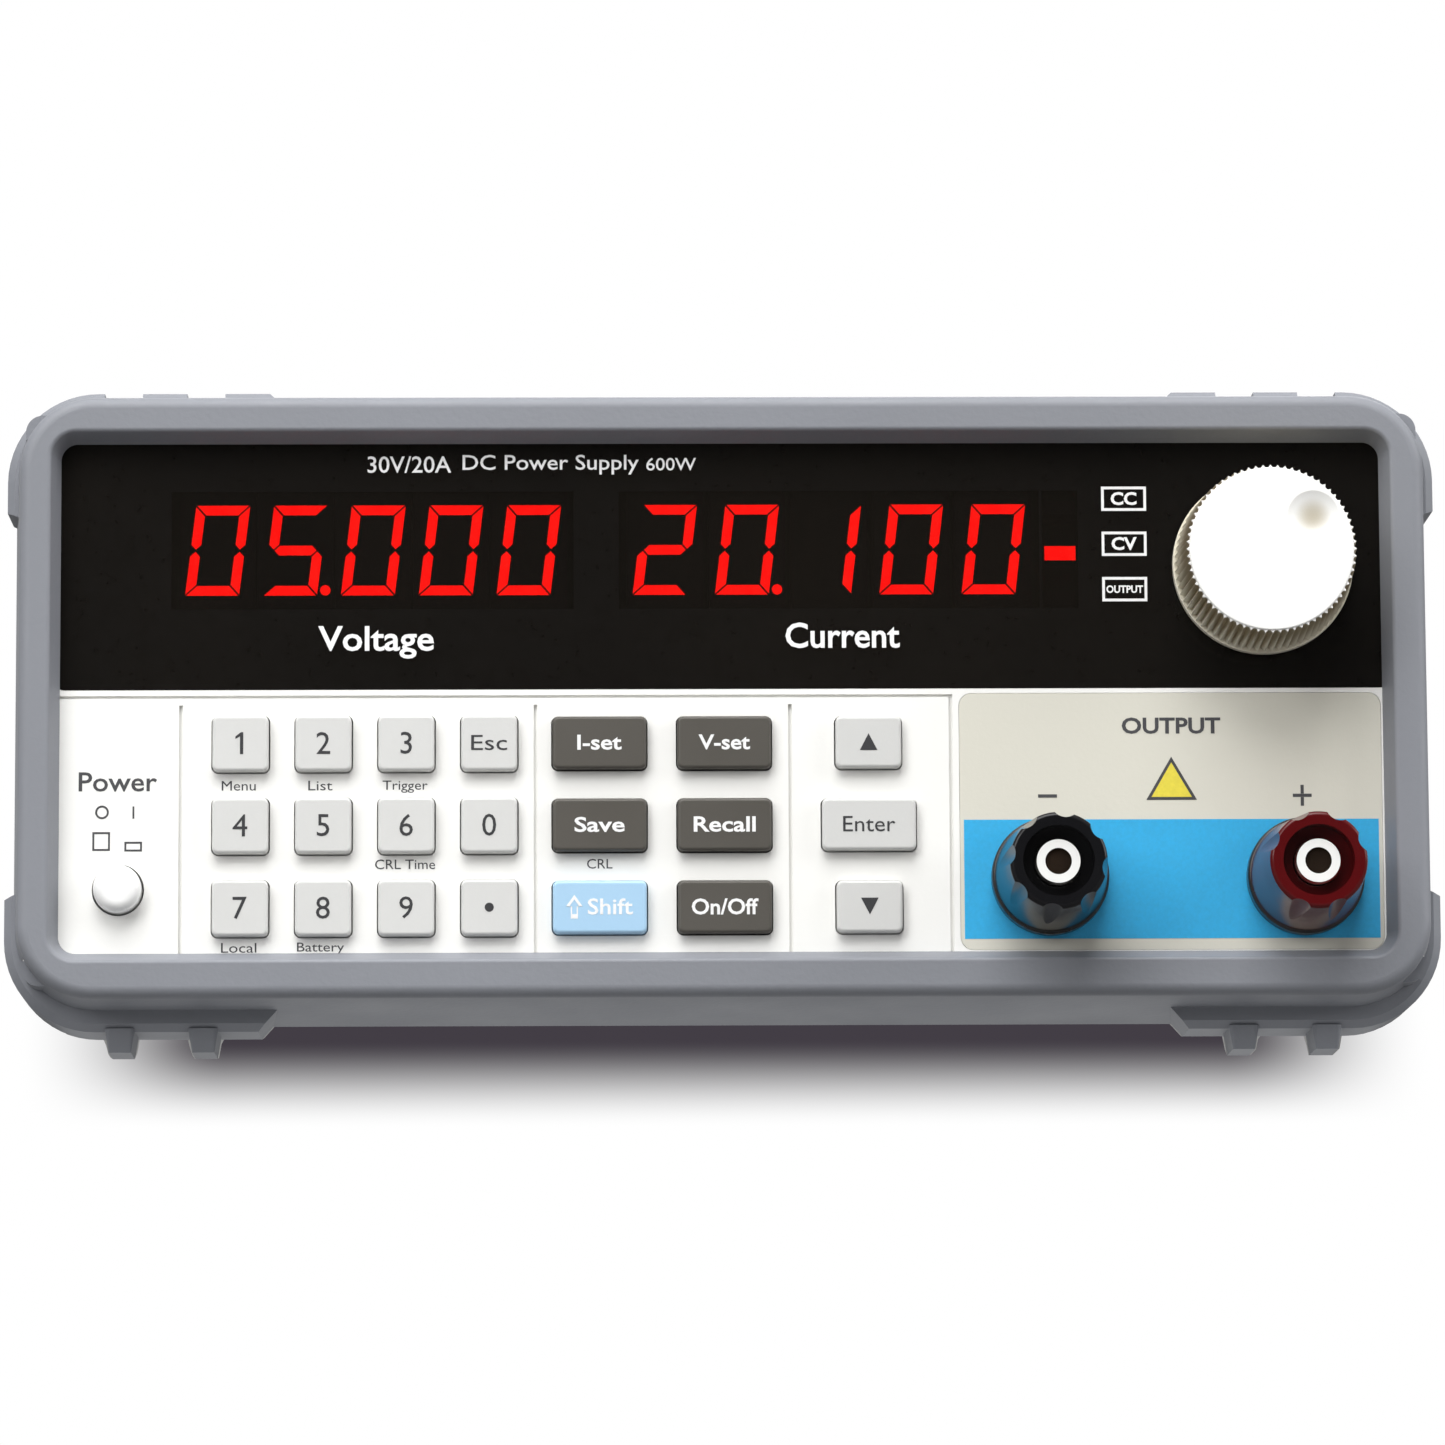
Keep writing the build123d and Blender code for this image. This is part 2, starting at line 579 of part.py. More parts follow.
def post_collars():
    """The fixed insulating collars between plate and caps, and the bushes behind the panel."""
    collars = []
    for x in POST_XS:
        collar = rod(COLLAR_R, -COLLAR_H, 0, x, POST_Z)
        collar = fillet(collar.edges().group_by(Axis.Y)[0], 0.6)
        collar += rod(4.5, -0.5, PANEL_FACE, x, POST_Z)
        collar -= rod(STUD_R + 0.02, -COLLAR_H - 1, PANEL_FACE + 1, x, POST_Z)
        collars.append(collar)
        backing = rod(7.5, PANEL_FACE, PANEL_FACE + 3.0, x, POST_Z)
        collars.append(backing - rod(STUD_R + 0.02, PANEL_FACE - 1, PANEL_FACE + 4, x, POST_Z))
    return Compound(collars)


def post_nuts():
    """Behind the panel, on each stud: a nut, a ring terminal for the lead and a second nut."""
    fasteners = []
    for x in POST_XS:
        start = PANEL_FACE + 3.0
        for y, radius, thick in ((start, 6.0, 3.0), (start + 4.2, 6.0, 3.0)):
            nut = extrude(facing_front(y + thick, x, POST_Z) * RegularPolygon(radius, 6), amount=thick)
            fasteners.append(nut - rod(STUD_R + 0.02, y - 1, y + thick + 1, x, POST_Z))
        tag_y = (start + 3.1, start + 4.1)
        tag = rod(5.5, *tag_y, x=x, z=POST_Z) + block((x - 3, x + 3), tag_y, (POST_Z, POST_Z + 14.0))
        fasteners.append(tag - rod(STUD_R + 0.02, tag_y[0] - 1, tag_y[1] + 1, x, POST_Z))
    return Compound(fasteners)


def clamp_ring(x):
    """The captive metal washer in the cap's foot. It clamps the wire, and slides without turning."""
    y_front = -COLLAR_H - 0.15 - 1.2
    ring = rod(CLAMP_RING_R, y_front, y_front + 1.2, x, POST_Z)
    return ring - rod(STUD_R + 0.08, y_front - 1, y_front + 3, x, POST_Z)


def post_cap(x, turned):
    """The fluted screw cap. Its flutes run out before its foot, and its mouth shows the stud's socket."""
    foot_y = -COLLAR_H - 0.3
    length = foot_y - CAP_TIP_Y
    slope = math.degrees(math.atan((CAP_BASE_R - CAP_TIP_R) / length))
    cap = rod(CAP_BASE_R, CAP_TIP_Y, foot_y, x, POST_Z, taper=slope)
    cap = fillet(cap.edges().group_by(Axis.Y)[0], 0.7)
    flute_r = 2.3
    for i in range(CAP_LOBES):
        angle = math.radians(turned) + 2 * math.pi * (i + 0.5) / CAP_LOBES
        tip = CAP_TIP_R + flute_r - 0.85
        tail = CAP_BASE_R + flute_r + 0.35
        start = Vector(x + tip * math.cos(angle), CAP_TIP_Y - 1, POST_Z + tip * math.sin(angle))
        end = Vector(x + tail * math.cos(angle), foot_y, POST_Z + tail * math.sin(angle))
        along = Plane(origin=start, z_dir=end - start)
        cap -= extrude(along * Circle(flute_r), amount=(end - start).length)
    cap -= rod(CAP_MOUTH_R, CAP_TIP_Y - 1, CAP_TIP_Y + 3.5, x, POST_Z)
    cap -= rod(STUD_R + 0.08, CAP_TIP_Y - 1, 0, x, POST_Z)
    seat_y = -COLLAR_H - 0.15 - 1.2 - 0.3
    return cap - rod(CLAMP_RING_R + 0.3, seat_y, 0, x, POST_Z)


# Rear fittings.


def fan_screw_spots():
    """The centres of the fan's four screws: (x, z)."""
    half = FAN_HOLE_PITCH / 2
    return [(FAN_X + i * half, j * half) for i in (-1, 1) for j in (-1, 1)]


def fan_frame():
    """The fan's square frame, with a round duct and four struts to the motor's seat."""
    back = REAR_FACE - REAR_SHEET - 0.02
    front = back - FAN_DEPTH
    frame = rod(FAN_SIZE / 2, front, back, FAN_X)
    for y in (front, back - 4.0):
        frame += rounded(FAN_SIZE, FAN_SIZE, 3.0, y, y + 4.0, FAN_X)
    frame -= rod(FAN_BORE_R, front - 1, back + 1, FAN_X)
    for x, z in fan_screw_spots():
        frame -= rod(2.15, front - 1, back + 1, x, z)
    seat = rod(FAN_HUB_R, front, front + 2.4, FAN_X)
    for i in range(4):
        strut = block((0, FAN_BORE_R + 1), (front, front + 2.4), (-1.6, 1.6))
        seat += Pos(FAN_X, 0, 0) * Rot(0, 45 + 90 * i, 0) * strut
    seat += rod(4.0, front, front + 3.0, FAN_X)
    return frame + seat - rod(1.55, front + 0.6, front + 4.0, FAN_X)


def fan_rotor():
    """The fan's hub and its swept blades."""
    back = REAR_FACE - REAR_SHEET - 2.0
    front = REAR_FACE - REAR_SHEET - FAN_DEPTH + 3.2
    hub = rod(FAN_HUB_R, front, back, FAN_X)
    hub = fillet(hub.edges().group_by(Axis.Y)[-1], 1.5)
    reach = rod(FAN_BORE_R - 1.0, front + 1.0, back - 1.0, FAN_X)
    middle = (front + back) / 2
    for i in range(FAN_BLADES):
        blade = Pos(FAN_HUB_R + 11, 0, 0) * Rot(42, 0, 0) * Box(26, 1.6, 21)
        hub += (Pos(FAN_X, middle, 0) * Rot(0, 360 / FAN_BLADES * i, 0) * blade) & reach
    return hub + rod(1.5, front - 2.4, front + 1.0, FAN_X)


def fan_guard():
    """A plated wire guard: rings welded to two crossed bars, with an eye at each screw."""
    bar_y = REAR_FACE + GUARD_WIRE_R
    ring_y = bar_y + 1.6 * GUARD_WIRE_R
    eye = FAN_HOLE_PITCH / 2
    guard = None
    for sign in (-1, 1):
        start = (FAN_X - eye * 0.94, bar_y, -sign * eye * 0.94)
        end = (FAN_X + eye * 0.94, bar_y, sign * eye * 0.94)
        direction = Vector(*end) - Vector(*start)
        bar = extrude(Plane(origin=start, z_dir=direction) * Circle(GUARD_WIRE_R), amount=direction.length)
        guard = bar if guard is None else guard + bar
    for radius in GUARD_RINGS:
        guard += Pos(FAN_X, ring_y, 0) * Rot(90, 0, 0) * Torus(radius, GUARD_WIRE_R)
    for x, z in fan_screw_spots():
        washer = rod(3.9, REAR_FACE, REAR_FACE + 1.3, x, z) - rod(2.1, REAR_FACE - 1, REAR_FACE + 2, x, z)
        guard -= rod(2.1, REAR_FACE - 1, REAR_FACE + 3, x, z)
        guard += washer
    return guard


def inlet_pins():
    """The three blades of the mains inlet, with solder tails: earth above, line and neutral below."""
    face = REAR_FACE + INLET_FLANGE[2]
    recess_back = face - INLET_RECESS[2]
    pins = []
    for dx, dz in ((0, 2.0), (-PIN_PITCH / 2, -2.0), (PIN_PITCH / 2, -2.0)):
        x, z = INLET_X + dx, INLET_Z + RECESS_RISE + dz
        y = (REAR_FACE - INLET_DEPTH - 8.0, recess_back + 15.5)
        pins.append(block((x - 1.0, x + 1.0), y, (z - 2.0, z + 2.0)))
    return Compound(pins)


def mains_inlet():
    """A mains inlet with ears for two screws, a recess for the plug and a slot for the fuse drawer."""
    width, height, thick = INLET_FLANGE
    face = REAR_FACE + thick
    inlet = rounded(width, height, 4.0, REAR_FACE, face, INLET_X, INLET_Z)
    inlet += rounded(*INLET_BODY, 1.0, REAR_FACE - INLET_DEPTH, REAR_FACE + 1, INLET_X, INLET_Z)
    half_w, half_h = INLET_RECESS[0] / 2, INLET_RECESS[1] / 2
    cut = 4.5
    outline = Polyline(
        (-half_w, -half_h), (half_w, -half_h), (half_w, half_h - cut), (half_w - cut, half_h),
        (-half_w + cut, half_h), (-half_w, half_h - cut), close=True,
    )
    mouth = facing_front(face + 1, INLET_X, INLET_Z + RECESS_RISE) * make_face(outline)
    inlet -= extrude(mouth, amount=INLET_RECESS[2] + 1)
    slot = DRAWER[0] / 2 + 0.3, DRAWER[1] / 2 + 0.3
    slot_z = INLET_Z + DRAWER_DROP
    slot_y = (face - DRAWER[2] - 0.5, face + 1)
    inlet -= block((INLET_X - slot[0], INLET_X + slot[0]), slot_y, (slot_z - slot[1], slot_z + slot[1]))
    for side in (-1, 1):
        x = INLET_X + side * INLET_SCREW_PITCH / 2
        inlet -= rod(1.7, REAR_FACE - 1, face + 1, x, INLET_Z)
    return inlet - inlet_pins()


def fuse_drawer():
    """The pull-out fuse carrier, with a finger lip and a cradle for the fuse."""
    width, height, depth = DRAWER
    face = REAR_FACE + INLET_FLANGE[2]
    z = INLET_Z + DRAWER_DROP
    across = (INLET_X - width / 2, INLET_X + width / 2)
    drawer = block(across, (face - depth, face + 0.6), (z - height / 2, z + height / 2))
    drawer += block((INLET_X - 5, INLET_X + 5), (face, face + 1.8), (z - 0.8, z + 0.8))
    cradle_y = (face - depth + 2.0, face - depth + 8.0)
    return drawer - block((INLET_X - 10.2, INLET_X + 10.2), cradle_y, (z - 2.4, z + height))


def fuse():
    """A 5 by 20 mm cartridge fuse across the drawer."""
    face = REAR_FACE + INLET_FLANGE[2]
    spot = (INLET_X - 10.0, face - DRAWER[2] + 5.0, INLET_Z + DRAWER_DROP + 0.3)
    along_x = Plane(origin=spot, x_dir=(0, 1, 0), z_dir=(1, 0, 0))
    return extrude(along_x * Circle(2.6), amount=20.0)


def serial_port():
    """A nine-way D connector: flange and shell, its insert, and two jack sockets for thumbscrews."""
    flange_y = (REAR_FACE - REAR_SHEET - 1.0, REAR_FACE - REAR_SHEET)
    shell_end = REAR_FACE + 5.0
    outline = Polyline((-8.6, -4.2), (8.6, -4.2), (9.4, 4.2), (-9.4, 4.2), close=True)
    mouth = fillet(make_face(outline).vertices(), 2.2)
    shell = block((PORT_X - 15.4, PORT_X + 15.4), flange_y, (PORT_Z - 6.2, PORT_Z + 6.2))
    shell += extrude(facing_front(shell_end, PORT_X, PORT_Z) * mouth, amount=shell_end - flange_y[0])
    core = offset(mouth, amount=-0.5)
    reach = shell_end - flange_y[0]
    insert = extrude(facing_front(shell_end - 0.2, PORT_X, PORT_Z) * core, amount=reach + 7.8)
    hollow = extrude(facing_front(shell_end + 1, PORT_X, PORT_Z) * core, amount=reach + 3)
    for row_z, count in ((1.42, 5), (-1.42, 4)):
        for i in range(count):
            x = PORT_X + (i - (count - 1) / 2) * 2.77
            insert -= rod(0.55, shell_end - 6.0, shell_end + 1, x, PORT_Z + row_z)
    shell -= hollow
    jacks = []
    for side in (-1, 1):
        x = PORT_X + side * JACK_PITCH / 2
        shell -= rod(1.65, flange_y[0] - 1, flange_y[1] + 1, x, PORT_Z)
        post = extrude(facing_front(REAR_FACE + 5.0, x, PORT_Z) * RegularPolygon(2.9, 6), amount=5.0)
        post += rod(1.6, flange_y[0] - 3.0, REAR_FACE + 0.5, x, PORT_Z)
        jacks.append(post - rod(1.25, REAR_FACE - 1.0, REAR_FACE + 6.0, x, PORT_Z))
    return Compound([shell, insert, *jacks])


def sense_terminals():
    """A four-way terminal block for the remote sense wires: wire holes behind, screws in wells on top."""
    width, height, depth = SENSE_BLOCK
    y = (REAR_FACE - 6.0, REAR_FACE + 6.0)
    body = block((SENSE_X - width / 2, SENSE_X + width / 2), y, (SENSE_Z - height / 2, SENSE_Z + height / 2))
    for i in range(4):
        x = SENSE_X + (i - 1.5) * SENSE_PITCH
        body -= rod(1.5, y[1] - 7.0, y[1] + 1, x, SENSE_Z - 2.0)
        body -= Pos(x, y[1] - 3.0, SENSE_Z + height / 2) * Cylinder(1.9, 5.0)
    return body


# Inside the case.


def main_board():
    """The power board, on the tray's bosses."""
    return block(MAIN_BOARD_X, MAIN_BOARD_Y, (MAIN_BOARD_TOP - BOARD_THICK, MAIN_BOARD_TOP))


def heat_sink(x, facing):
    """An extruded heat sink: a plate with fins on one side, lengthways in the air's path."""
    y = (96.0, 236.0)
    z = (MAIN_BOARD_TOP, MAIN_BOARD_TOP + 58.0)
    sink = block(sorted((x, x + facing * 4.0)), y, z)
    for i in range(9):
        fin_z = z[0] + 1.5 + i * 6.7
        sink += block(sorted((x, x + facing * 22.0)), y, (fin_z, fin_z + 1.4))
    return sink


def heat_sinks():
    """The two heat sinks."""
    return Compound([heat_sink(-66.0, 1), heat_sink(90.0, -1)])


def transformer():
    """The main ferrite transformer: a core frame and the winding on its middle leg."""
    x, y, base = 12.0, 150.0, MAIN_BOARD_TOP
    core = block((x - 26, x + 26), (y - 9, y + 9), (base + 5, base + 49))
    for side in (-1, 1):
        window = sorted((x + side * 8.0, x + side * 19.0))
        core -= block(window, (y - 10, y + 10), (base + 12, base + 42))
    winding = block((x - 18.8, x + 18.8), (y - 19, y + 19), (base + 12.2, base + 41.8))
    winding -= block((x - 8.1, x + 8.1), (y - 9.1, y + 9.1), (base + 10, base + 44))
    winding += block((x - 18.8, x + 18.8), (y - 19, y - 9.2), (base, base + 12.4))
    winding += block((x - 18.8, x + 18.8), (y + 9.2, y + 19), (base, base + 12.4))
    return Compound([core, winding])


def capacitors():
    """Two mains reservoir capacitors and four output ones, all standing on the board."""
    cans = []
    for x, y, radius, height in (
        (-6, 286, 17.0, 46.0), (32, 286, 17.0, 46.0),
        (-24, 86, 8.0, 30.0), (-4, 86, 8.0, 30.0), (16, 86, 8.0, 30.0), (36, 86, 8.0, 30.0),
    ):
        standing = (Align.CENTER, Align.CENTER, Align.MIN)
        can = Pos(x, y, MAIN_BOARD_TOP) * Cylinder(radius, height, align=standing)
        cans.append(fillet(can.edges().group_by(Axis.Z)[-1], 1.2))
    return Compound(cans)


def output_leads():
    """The two heavy leads, from the board up to the ring terminals behind the posts."""
    leads = []
    tag_y = PANEL_FACE + 6.6
    for x in POST_XS:
        lead_x = x - 10.0 if x > 60 else x
        top = POST_Z + 14.2 + LEAD_R
        route = FilletPolyline(
            (x, tag_y, POST_Z + 14.1), (x, tag_y + 4.0, top + 14.0), (x - 2, 44.0, top + 16.0),
            (lead_x, 72.0, top + 4.0), (lead_x, 76.0, MAIN_BOARD_TOP), radius=9.0,
        )
        start = Plane(origin=route @ 0, z_dir=route % 0)
        leads.append(sweep(start * Circle(LEAD_R), path=route))
    return Compound(leads)


def screw(spot, outward, head_r=2.9, head_h=1.8, shank_r=1.35, shank=6.0):
    """A pan-head screw whose head stands on spot and points outward."""
    plane = Plane(origin=spot, z_dir=outward)
    head = extrude(plane * Circle(head_r), amount=head_h)
    head = fillet(head.faces().sort_by(Axis(spot, outward))[-1].edges(), 0.7)
    body = head + extrude(plane.offset(-shank) * Circle(shank_r), amount=shank + 0.1)
    blades = extrude(plane.offset(head_h - 0.8) * Rectangle(0.7, 3.4), amount=2)
    blades += extrude(plane.offset(head_h - 0.8) * Rectangle(3.4, 0.7), amount=2)
    return body - blades


def case_screws():
    """The cover's six side screws, the guard's four and the inlet's two."""
    screws = []
    for side, y in side_screw_spots():
        screws.append(screw((side * CASE_W / 2, y, SIDE_SCREW_Z), (side, 0, 0), shank=4.0))
    for x, z in fan_screw_spots():
        screws.append(screw((x, REAR_FACE + 1.3, z), (0, 1, 0), head_r=3.4, shank=9.0))
    inlet_face = REAR_FACE + INLET_FLANGE[2]
    for side in (-1, 1):
        spot = (INLET_X + side * INLET_SCREW_PITCH / 2, inlet_face, INLET_Z)
        screws.append(screw(spot, (0, 1, 0), shank=6.0))
    return Compound(screws)


def write(name, shape):
    """One STEP file for one node, moved to where the object stands."""
    export_step(SHIFT * shape, f"parts/{name}.step")


def main():
    os.makedirs("parts", exist_ok=True)
    write("front_bumper", bumper(FRONT_NOSE, FRONT_MOUTH_TAPER))
    write("rear_bumper", at_rear(bumper(REAR_NOSE, REAR_MOUTH_TAPER)))
    write("base_tray", base_tray())
    write("top_cover", top_cover())
    write("rear_panel", rear_panel())
    write("front_panel", front_panel())
    write("display_window", display_window())
    write("output_plate", output_plate())
    for name, *place in key_table():
        write(name, key_cap(*place))
    write("keypad_mat", keypad_mat())
    write("front_board", front_board())
    write("digit_modules", digit_blocks())
    write("status_lamps", status_lamps())
    write("knob", knob())
    write("encoder_body", encoder_body())
    write("encoder_shaft", encoder_shaft())
    write("power_button", power_button())
    write("power_switch", power_switch())
    write("post_studs", post_studs())
    write("post_collars", post_collars())
    write("post_nuts", post_nuts())
    write("negative_clamp_ring", clamp_ring(POST_XS[0]))
    write("positive_clamp_ring", clamp_ring(POST_XS[1]))
    write("negative_cap", post_cap(POST_XS[0], turned=15.0))
    write("positive_cap", post_cap(POST_XS[1], turned=0.0))
    write("fan_frame", fan_frame())
    write("fan_rotor", fan_rotor())
    write("fan_guard", fan_guard())
    write("mains_inlet", mains_inlet())
    write("inlet_pins", inlet_pins())
    write("fuse_drawer", fuse_drawer())
    write("fuse", fuse())
    write("serial_port", serial_port())
    write("sense_terminals", sense_terminals())
    write("main_board", main_board())
    write("heat_sinks", heat_sinks())
    write("transformer", transformer())
    write("capacitors", capacitors())
    write("output_leads", output_leads())
    write("case_screws", case_screws())


main()
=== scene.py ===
"""The looks of a half-rack bench power supply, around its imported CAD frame, in metres.

+X is to the right of someone who faces the front panel, +Y goes towards the rear, +Z is up, and the feet
stand on z = 0. Each section makes one piece, or one group of like pieces, in the order of assembly.
"""

import math

import bpy
import numpy as np
from mathutils import Matrix, Vector


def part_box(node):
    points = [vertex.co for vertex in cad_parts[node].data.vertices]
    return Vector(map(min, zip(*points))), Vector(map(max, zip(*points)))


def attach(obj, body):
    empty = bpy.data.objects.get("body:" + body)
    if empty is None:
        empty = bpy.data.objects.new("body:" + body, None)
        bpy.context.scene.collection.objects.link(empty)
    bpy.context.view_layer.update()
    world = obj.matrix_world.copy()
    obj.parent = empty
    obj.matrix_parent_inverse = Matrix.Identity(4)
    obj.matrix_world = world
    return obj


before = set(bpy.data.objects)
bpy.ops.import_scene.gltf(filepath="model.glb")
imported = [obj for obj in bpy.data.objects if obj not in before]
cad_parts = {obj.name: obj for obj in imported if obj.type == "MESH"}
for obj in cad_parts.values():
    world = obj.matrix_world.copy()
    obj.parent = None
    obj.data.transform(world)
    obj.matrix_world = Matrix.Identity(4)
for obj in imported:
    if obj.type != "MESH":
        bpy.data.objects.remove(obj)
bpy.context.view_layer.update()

# ---------------------------------------------------------------------------------------------------------
# Studio. A pale sheet of floor, a white surround that is darker in front, so that black plastic stays
# black, and a large soft lamp overhead. The camera stands far off, a little left and below the panel.
# ---------------------------------------------------------------------------------------------------------
mm = 0.001
panel_low, panel_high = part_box("front_panel")
face_y = panel_low.y
mid_z = (panel_low.z + panel_high.z) / 2

camera_offset = Vector((-21.86, -1099.64, -161.34)) * mm
view_turn, view_rise, view_roll = math.radians(1.13), math.radians(8.15), math.radians(-0.30)
level = Vector((math.cos(view_turn), -math.sin(view_turn), 0))
ahead = Vector((math.sin(view_turn), math.cos(view_turn), 0)) * math.cos(view_rise)
ahead.z = math.sin(view_rise)
upward = level.cross(ahead)
right = level * math.cos(view_roll) + upward * math.sin(view_roll)
camera_data = bpy.data.cameras.new("camera")
camera_data.lens = 180.1
camera_data.sensor_width = 36.0
camera_data.clip_end = 50
camera = bpy.data.objects.new("camera", camera_data)
bpy.context.collection.objects.link(camera)
turn = Matrix((right, right.cross(-ahead) * -1, -ahead)).transposed()
camera.matrix_world = Matrix.Translation(Vector((0, face_y, mid_z)) + camera_offset) @ turn.to_4x4()
bpy.context.scene.camera = camera
bpy.context.scene.view_settings.view_transform = "Standard"


def soft_lamp(name, place, aim, size, power):
    """A square area lamp at place, turned so that its face looks at aim."""
    data = bpy.data.lights.new(name, "AREA")
    data.size, data.energy = size, power
    lamp = bpy.data.objects.new(name, data)
    bpy.context.collection.objects.link(lamp)
    lamp.location = place
    lamp.rotation_euler = (Vector(aim) - Vector(place)).to_track_quat("-Z", "Y").to_euler()


soft_lamp("overhead_lamp", (-0.20, -1.00, 1.45), (0, face_y, 0.05), 1.3, 34)
soft_lamp("front_lamp", (-1.10, -1.55, 0.75), (0, face_y, mid_z), 0.9, 14)
soft_lamp("right_lamp", (1.5, -0.6, 0.7), (0, 0, mid_z), 0.9, 14)
soft_lamp("rear_lamp", (0.4, 1.6, 1.1), (0, 0.1, mid_z), 1.0, 12)

world = bpy.data.worlds.new("studio")
bpy.context.scene.world = world
world.use_nodes = True
sky = world.node_tree
sky.nodes.clear()


def wire(tree, kind, inputs=None, **settings):
    """A node of that kind, with its settings, and each input given as a value or as another output."""
    node = tree.nodes.new(kind)
    for key, value in settings.items():
        setattr(node, key, value)
    for key, value in (inputs or {}).items():
        if isinstance(value, bpy.types.NodeSocket):
            tree.links.new(value, node.inputs[key])
        else:
            node.inputs[key].default_value = value
    return node


def calc(tree, operation, *values):
    """The result of one Math node on the values, each a number or another output."""
    return wire(tree, "ShaderNodeMath", dict(enumerate(values)), operation=operation).outputs[0]


def smooth_step(tree, value, low, high, at_low=0.0, at_high=1.0):
    """A smooth step of value from low to high."""
    inputs = {0: value, 1: low, 2: high, 3: at_low, 4: at_high}
    return wire(tree, "ShaderNodeMapRange", inputs, interpolation_type="SMOOTHSTEP").outputs[0]


# The surround's brightness rises with height, behind and far below. It is lowest level in front, where the
# panel's gloss looks.
direction = wire(sky, "ShaderNodeNewGeometry").outputs["Incoming"]
parts = wire(sky, "ShaderNodeSeparateXYZ", {0: direction})
height = wire(sky, "ShaderNodeMapRange", {0: parts.outputs["Z"], 1: -0.25, 2: -0.9}).outputs[0]
behind = wire(sky, "ShaderNodeMapRange", {0: parts.outputs["Y"], 1: 0.5, 2: -0.6, 3: 0.0, 4: 0.8}).outputs[0]
beneath = wire(sky, "ShaderNodeMapRange", {0: parts.outputs["Z"], 1: 0.05, 2: 0.5, 3: 0.0, 4: 0.5}).outputs[0]
glow = calc(sky, "MAXIMUM", calc(sky, "MAXIMUM", height, behind), beneath)
glow = wire(sky, "ShaderNodeMapRange", {0: glow, 3: 0.09, 4: 0.85}).outputs[0]
surround = wire(sky, "ShaderNodeBackground", {"Color": (1, 1, 1, 1), "Strength": glow})
backdrop = wire(sky, "ShaderNodeBackground", {"Color": (1, 1, 1, 1), "Strength": 1.0})
seen = wire(sky, "ShaderNodeLightPath").outputs["Is Camera Ray"]
mixed = wire(sky, "ShaderNodeMixShader", {0: seen, 1: surround.outputs[0], 2: backdrop.outputs[0]})
wire(sky, "ShaderNodeOutputWorld", {0: mixed.outputs[0]})


def new_finish(name):
    """An empty material, its tree, its Principled shader and its Object coordinates."""
    finish = bpy.data.materials.new(name)
    finish.use_nodes = True
    tree = finish.node_tree
    tree.nodes.clear()
    shader = wire(tree, "ShaderNodeBsdfPrincipled")
    wire(tree, "ShaderNodeOutputMaterial", {0: shader.outputs[0]})
    coords = wire(tree, "ShaderNodeTexCoord").outputs["Object"]
    return finish, tree, shader, coords


floor_mesh = bpy.data.meshes.new("floor")
floor_z = -0.2 * mm
floor_half = 6.0
floor_points = [(x * floor_half, y * floor_half, floor_z) for x, y in ((-1, -1), (1, -1), (1, 1), (-1, 1))]
floor_mesh.from_pydata(floor_points, [], [(0, 1, 2, 3)])
floor = bpy.data.objects.new("floor", floor_mesh)
bpy.context.collection.objects.link(floor)
floor_finish, tree, shader, coords = new_finish("floor_paper")
spot = wire(tree, "ShaderNodeSeparateXYZ", {0: coords})
aside = calc(tree, "ABSOLUTE", spot.outputs["X"])
ray = wire(tree, "ShaderNodeLightPath").outputs
clear = wire(tree, "ShaderNodeBsdfTransparent").outputs[0]

# From above it is pale paper, which gives back less light than it seems to. Under the unit it is a light
# table: light from below reaches the unit's underside.
paper = wire(tree, "ShaderNodeMapRange", {0: ray["Is Camera Ray"], 3: 0.16, 4: 0.70}).outputs[0]
tree.links.new(paper, shader.inputs["Base Color"])
shader.inputs["Roughness"].default_value = 0.9
under_unit = (
    calc(tree, "LESS_THAN", aside, 0.106), calc(tree, "GREATER_THAN", spot.outputs["Y"], face_y - 0.004),
    calc(tree, "LESS_THAN", spot.outputs["Y"], 0.17),
)
table = calc(tree, "SUBTRACT", 1.0, ray["Is Camera Ray"])
for region in under_unit:
    table = calc(tree, "MULTIPLY", table, region)
above = wire(tree, "ShaderNodeMixShader", {0: table, 1: shader.outputs[0], 2: clear}).outputs[0]

from_below = wire(tree, "ShaderNodeNewGeometry").outputs["Backfacing"]
one_way = wire(tree, "ShaderNodeMixShader", {0: from_below, 1: above, 2: clear})
tree.links.new(one_way.outputs[0], tree.nodes["Material Output"].inputs[0])
floor.data.materials.append(floor_finish)

# The camera stands below the floor's level and sees its underside through it. A white sheet lies there with
# the unit's soft shadow painted on it, as light that it gives off. It starts where the sight lines past the
# lowest points of the bumper meet the floor.
eye = np.array(camera.matrix_world.translation)
bumper_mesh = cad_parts["front_bumper"].data
corners = np.empty(len(bumper_mesh.vertices) * 3)
bumper_mesh.vertices.foreach_get("co", corners)
edge_ends = np.empty(len(bumper_mesh.edges) * 2, int)
bumper_mesh.edges.foreach_get("vertices", edge_ends)
first, second = corners.reshape(-1, 3)[edge_ends.reshape(-1, 2)].transpose(1, 0, 2)
steps_an_edge = 400
share = np.linspace(0, 1, steps_an_edge)[:, None, None]
rim = (first * (1 - share) + second * share).reshape(-1, 3)
sheet_z = 2 * floor_z
landing = eye[:2] + (rim[:, :2] - eye[:2]) * ((sheet_z - eye[2]) / (rim[:, 2:] - eye[2]))
sight = np.linspace(-0.09, 0.13, 661)
slopes = (landing[:, 0] - eye[0]) / (landing[:, 1] - eye[1])
column = np.rint((slopes - sight[0]) / (sight[1] - sight[0])).astype(int)
inside = (column >= 0) & (column < len(sight))
nowhere = -9.0
sheet_front = np.full(len(sight), nowhere)
np.maximum.at(sheet_front, column[inside], landing[inside, 1])
known = sheet_front > nowhere
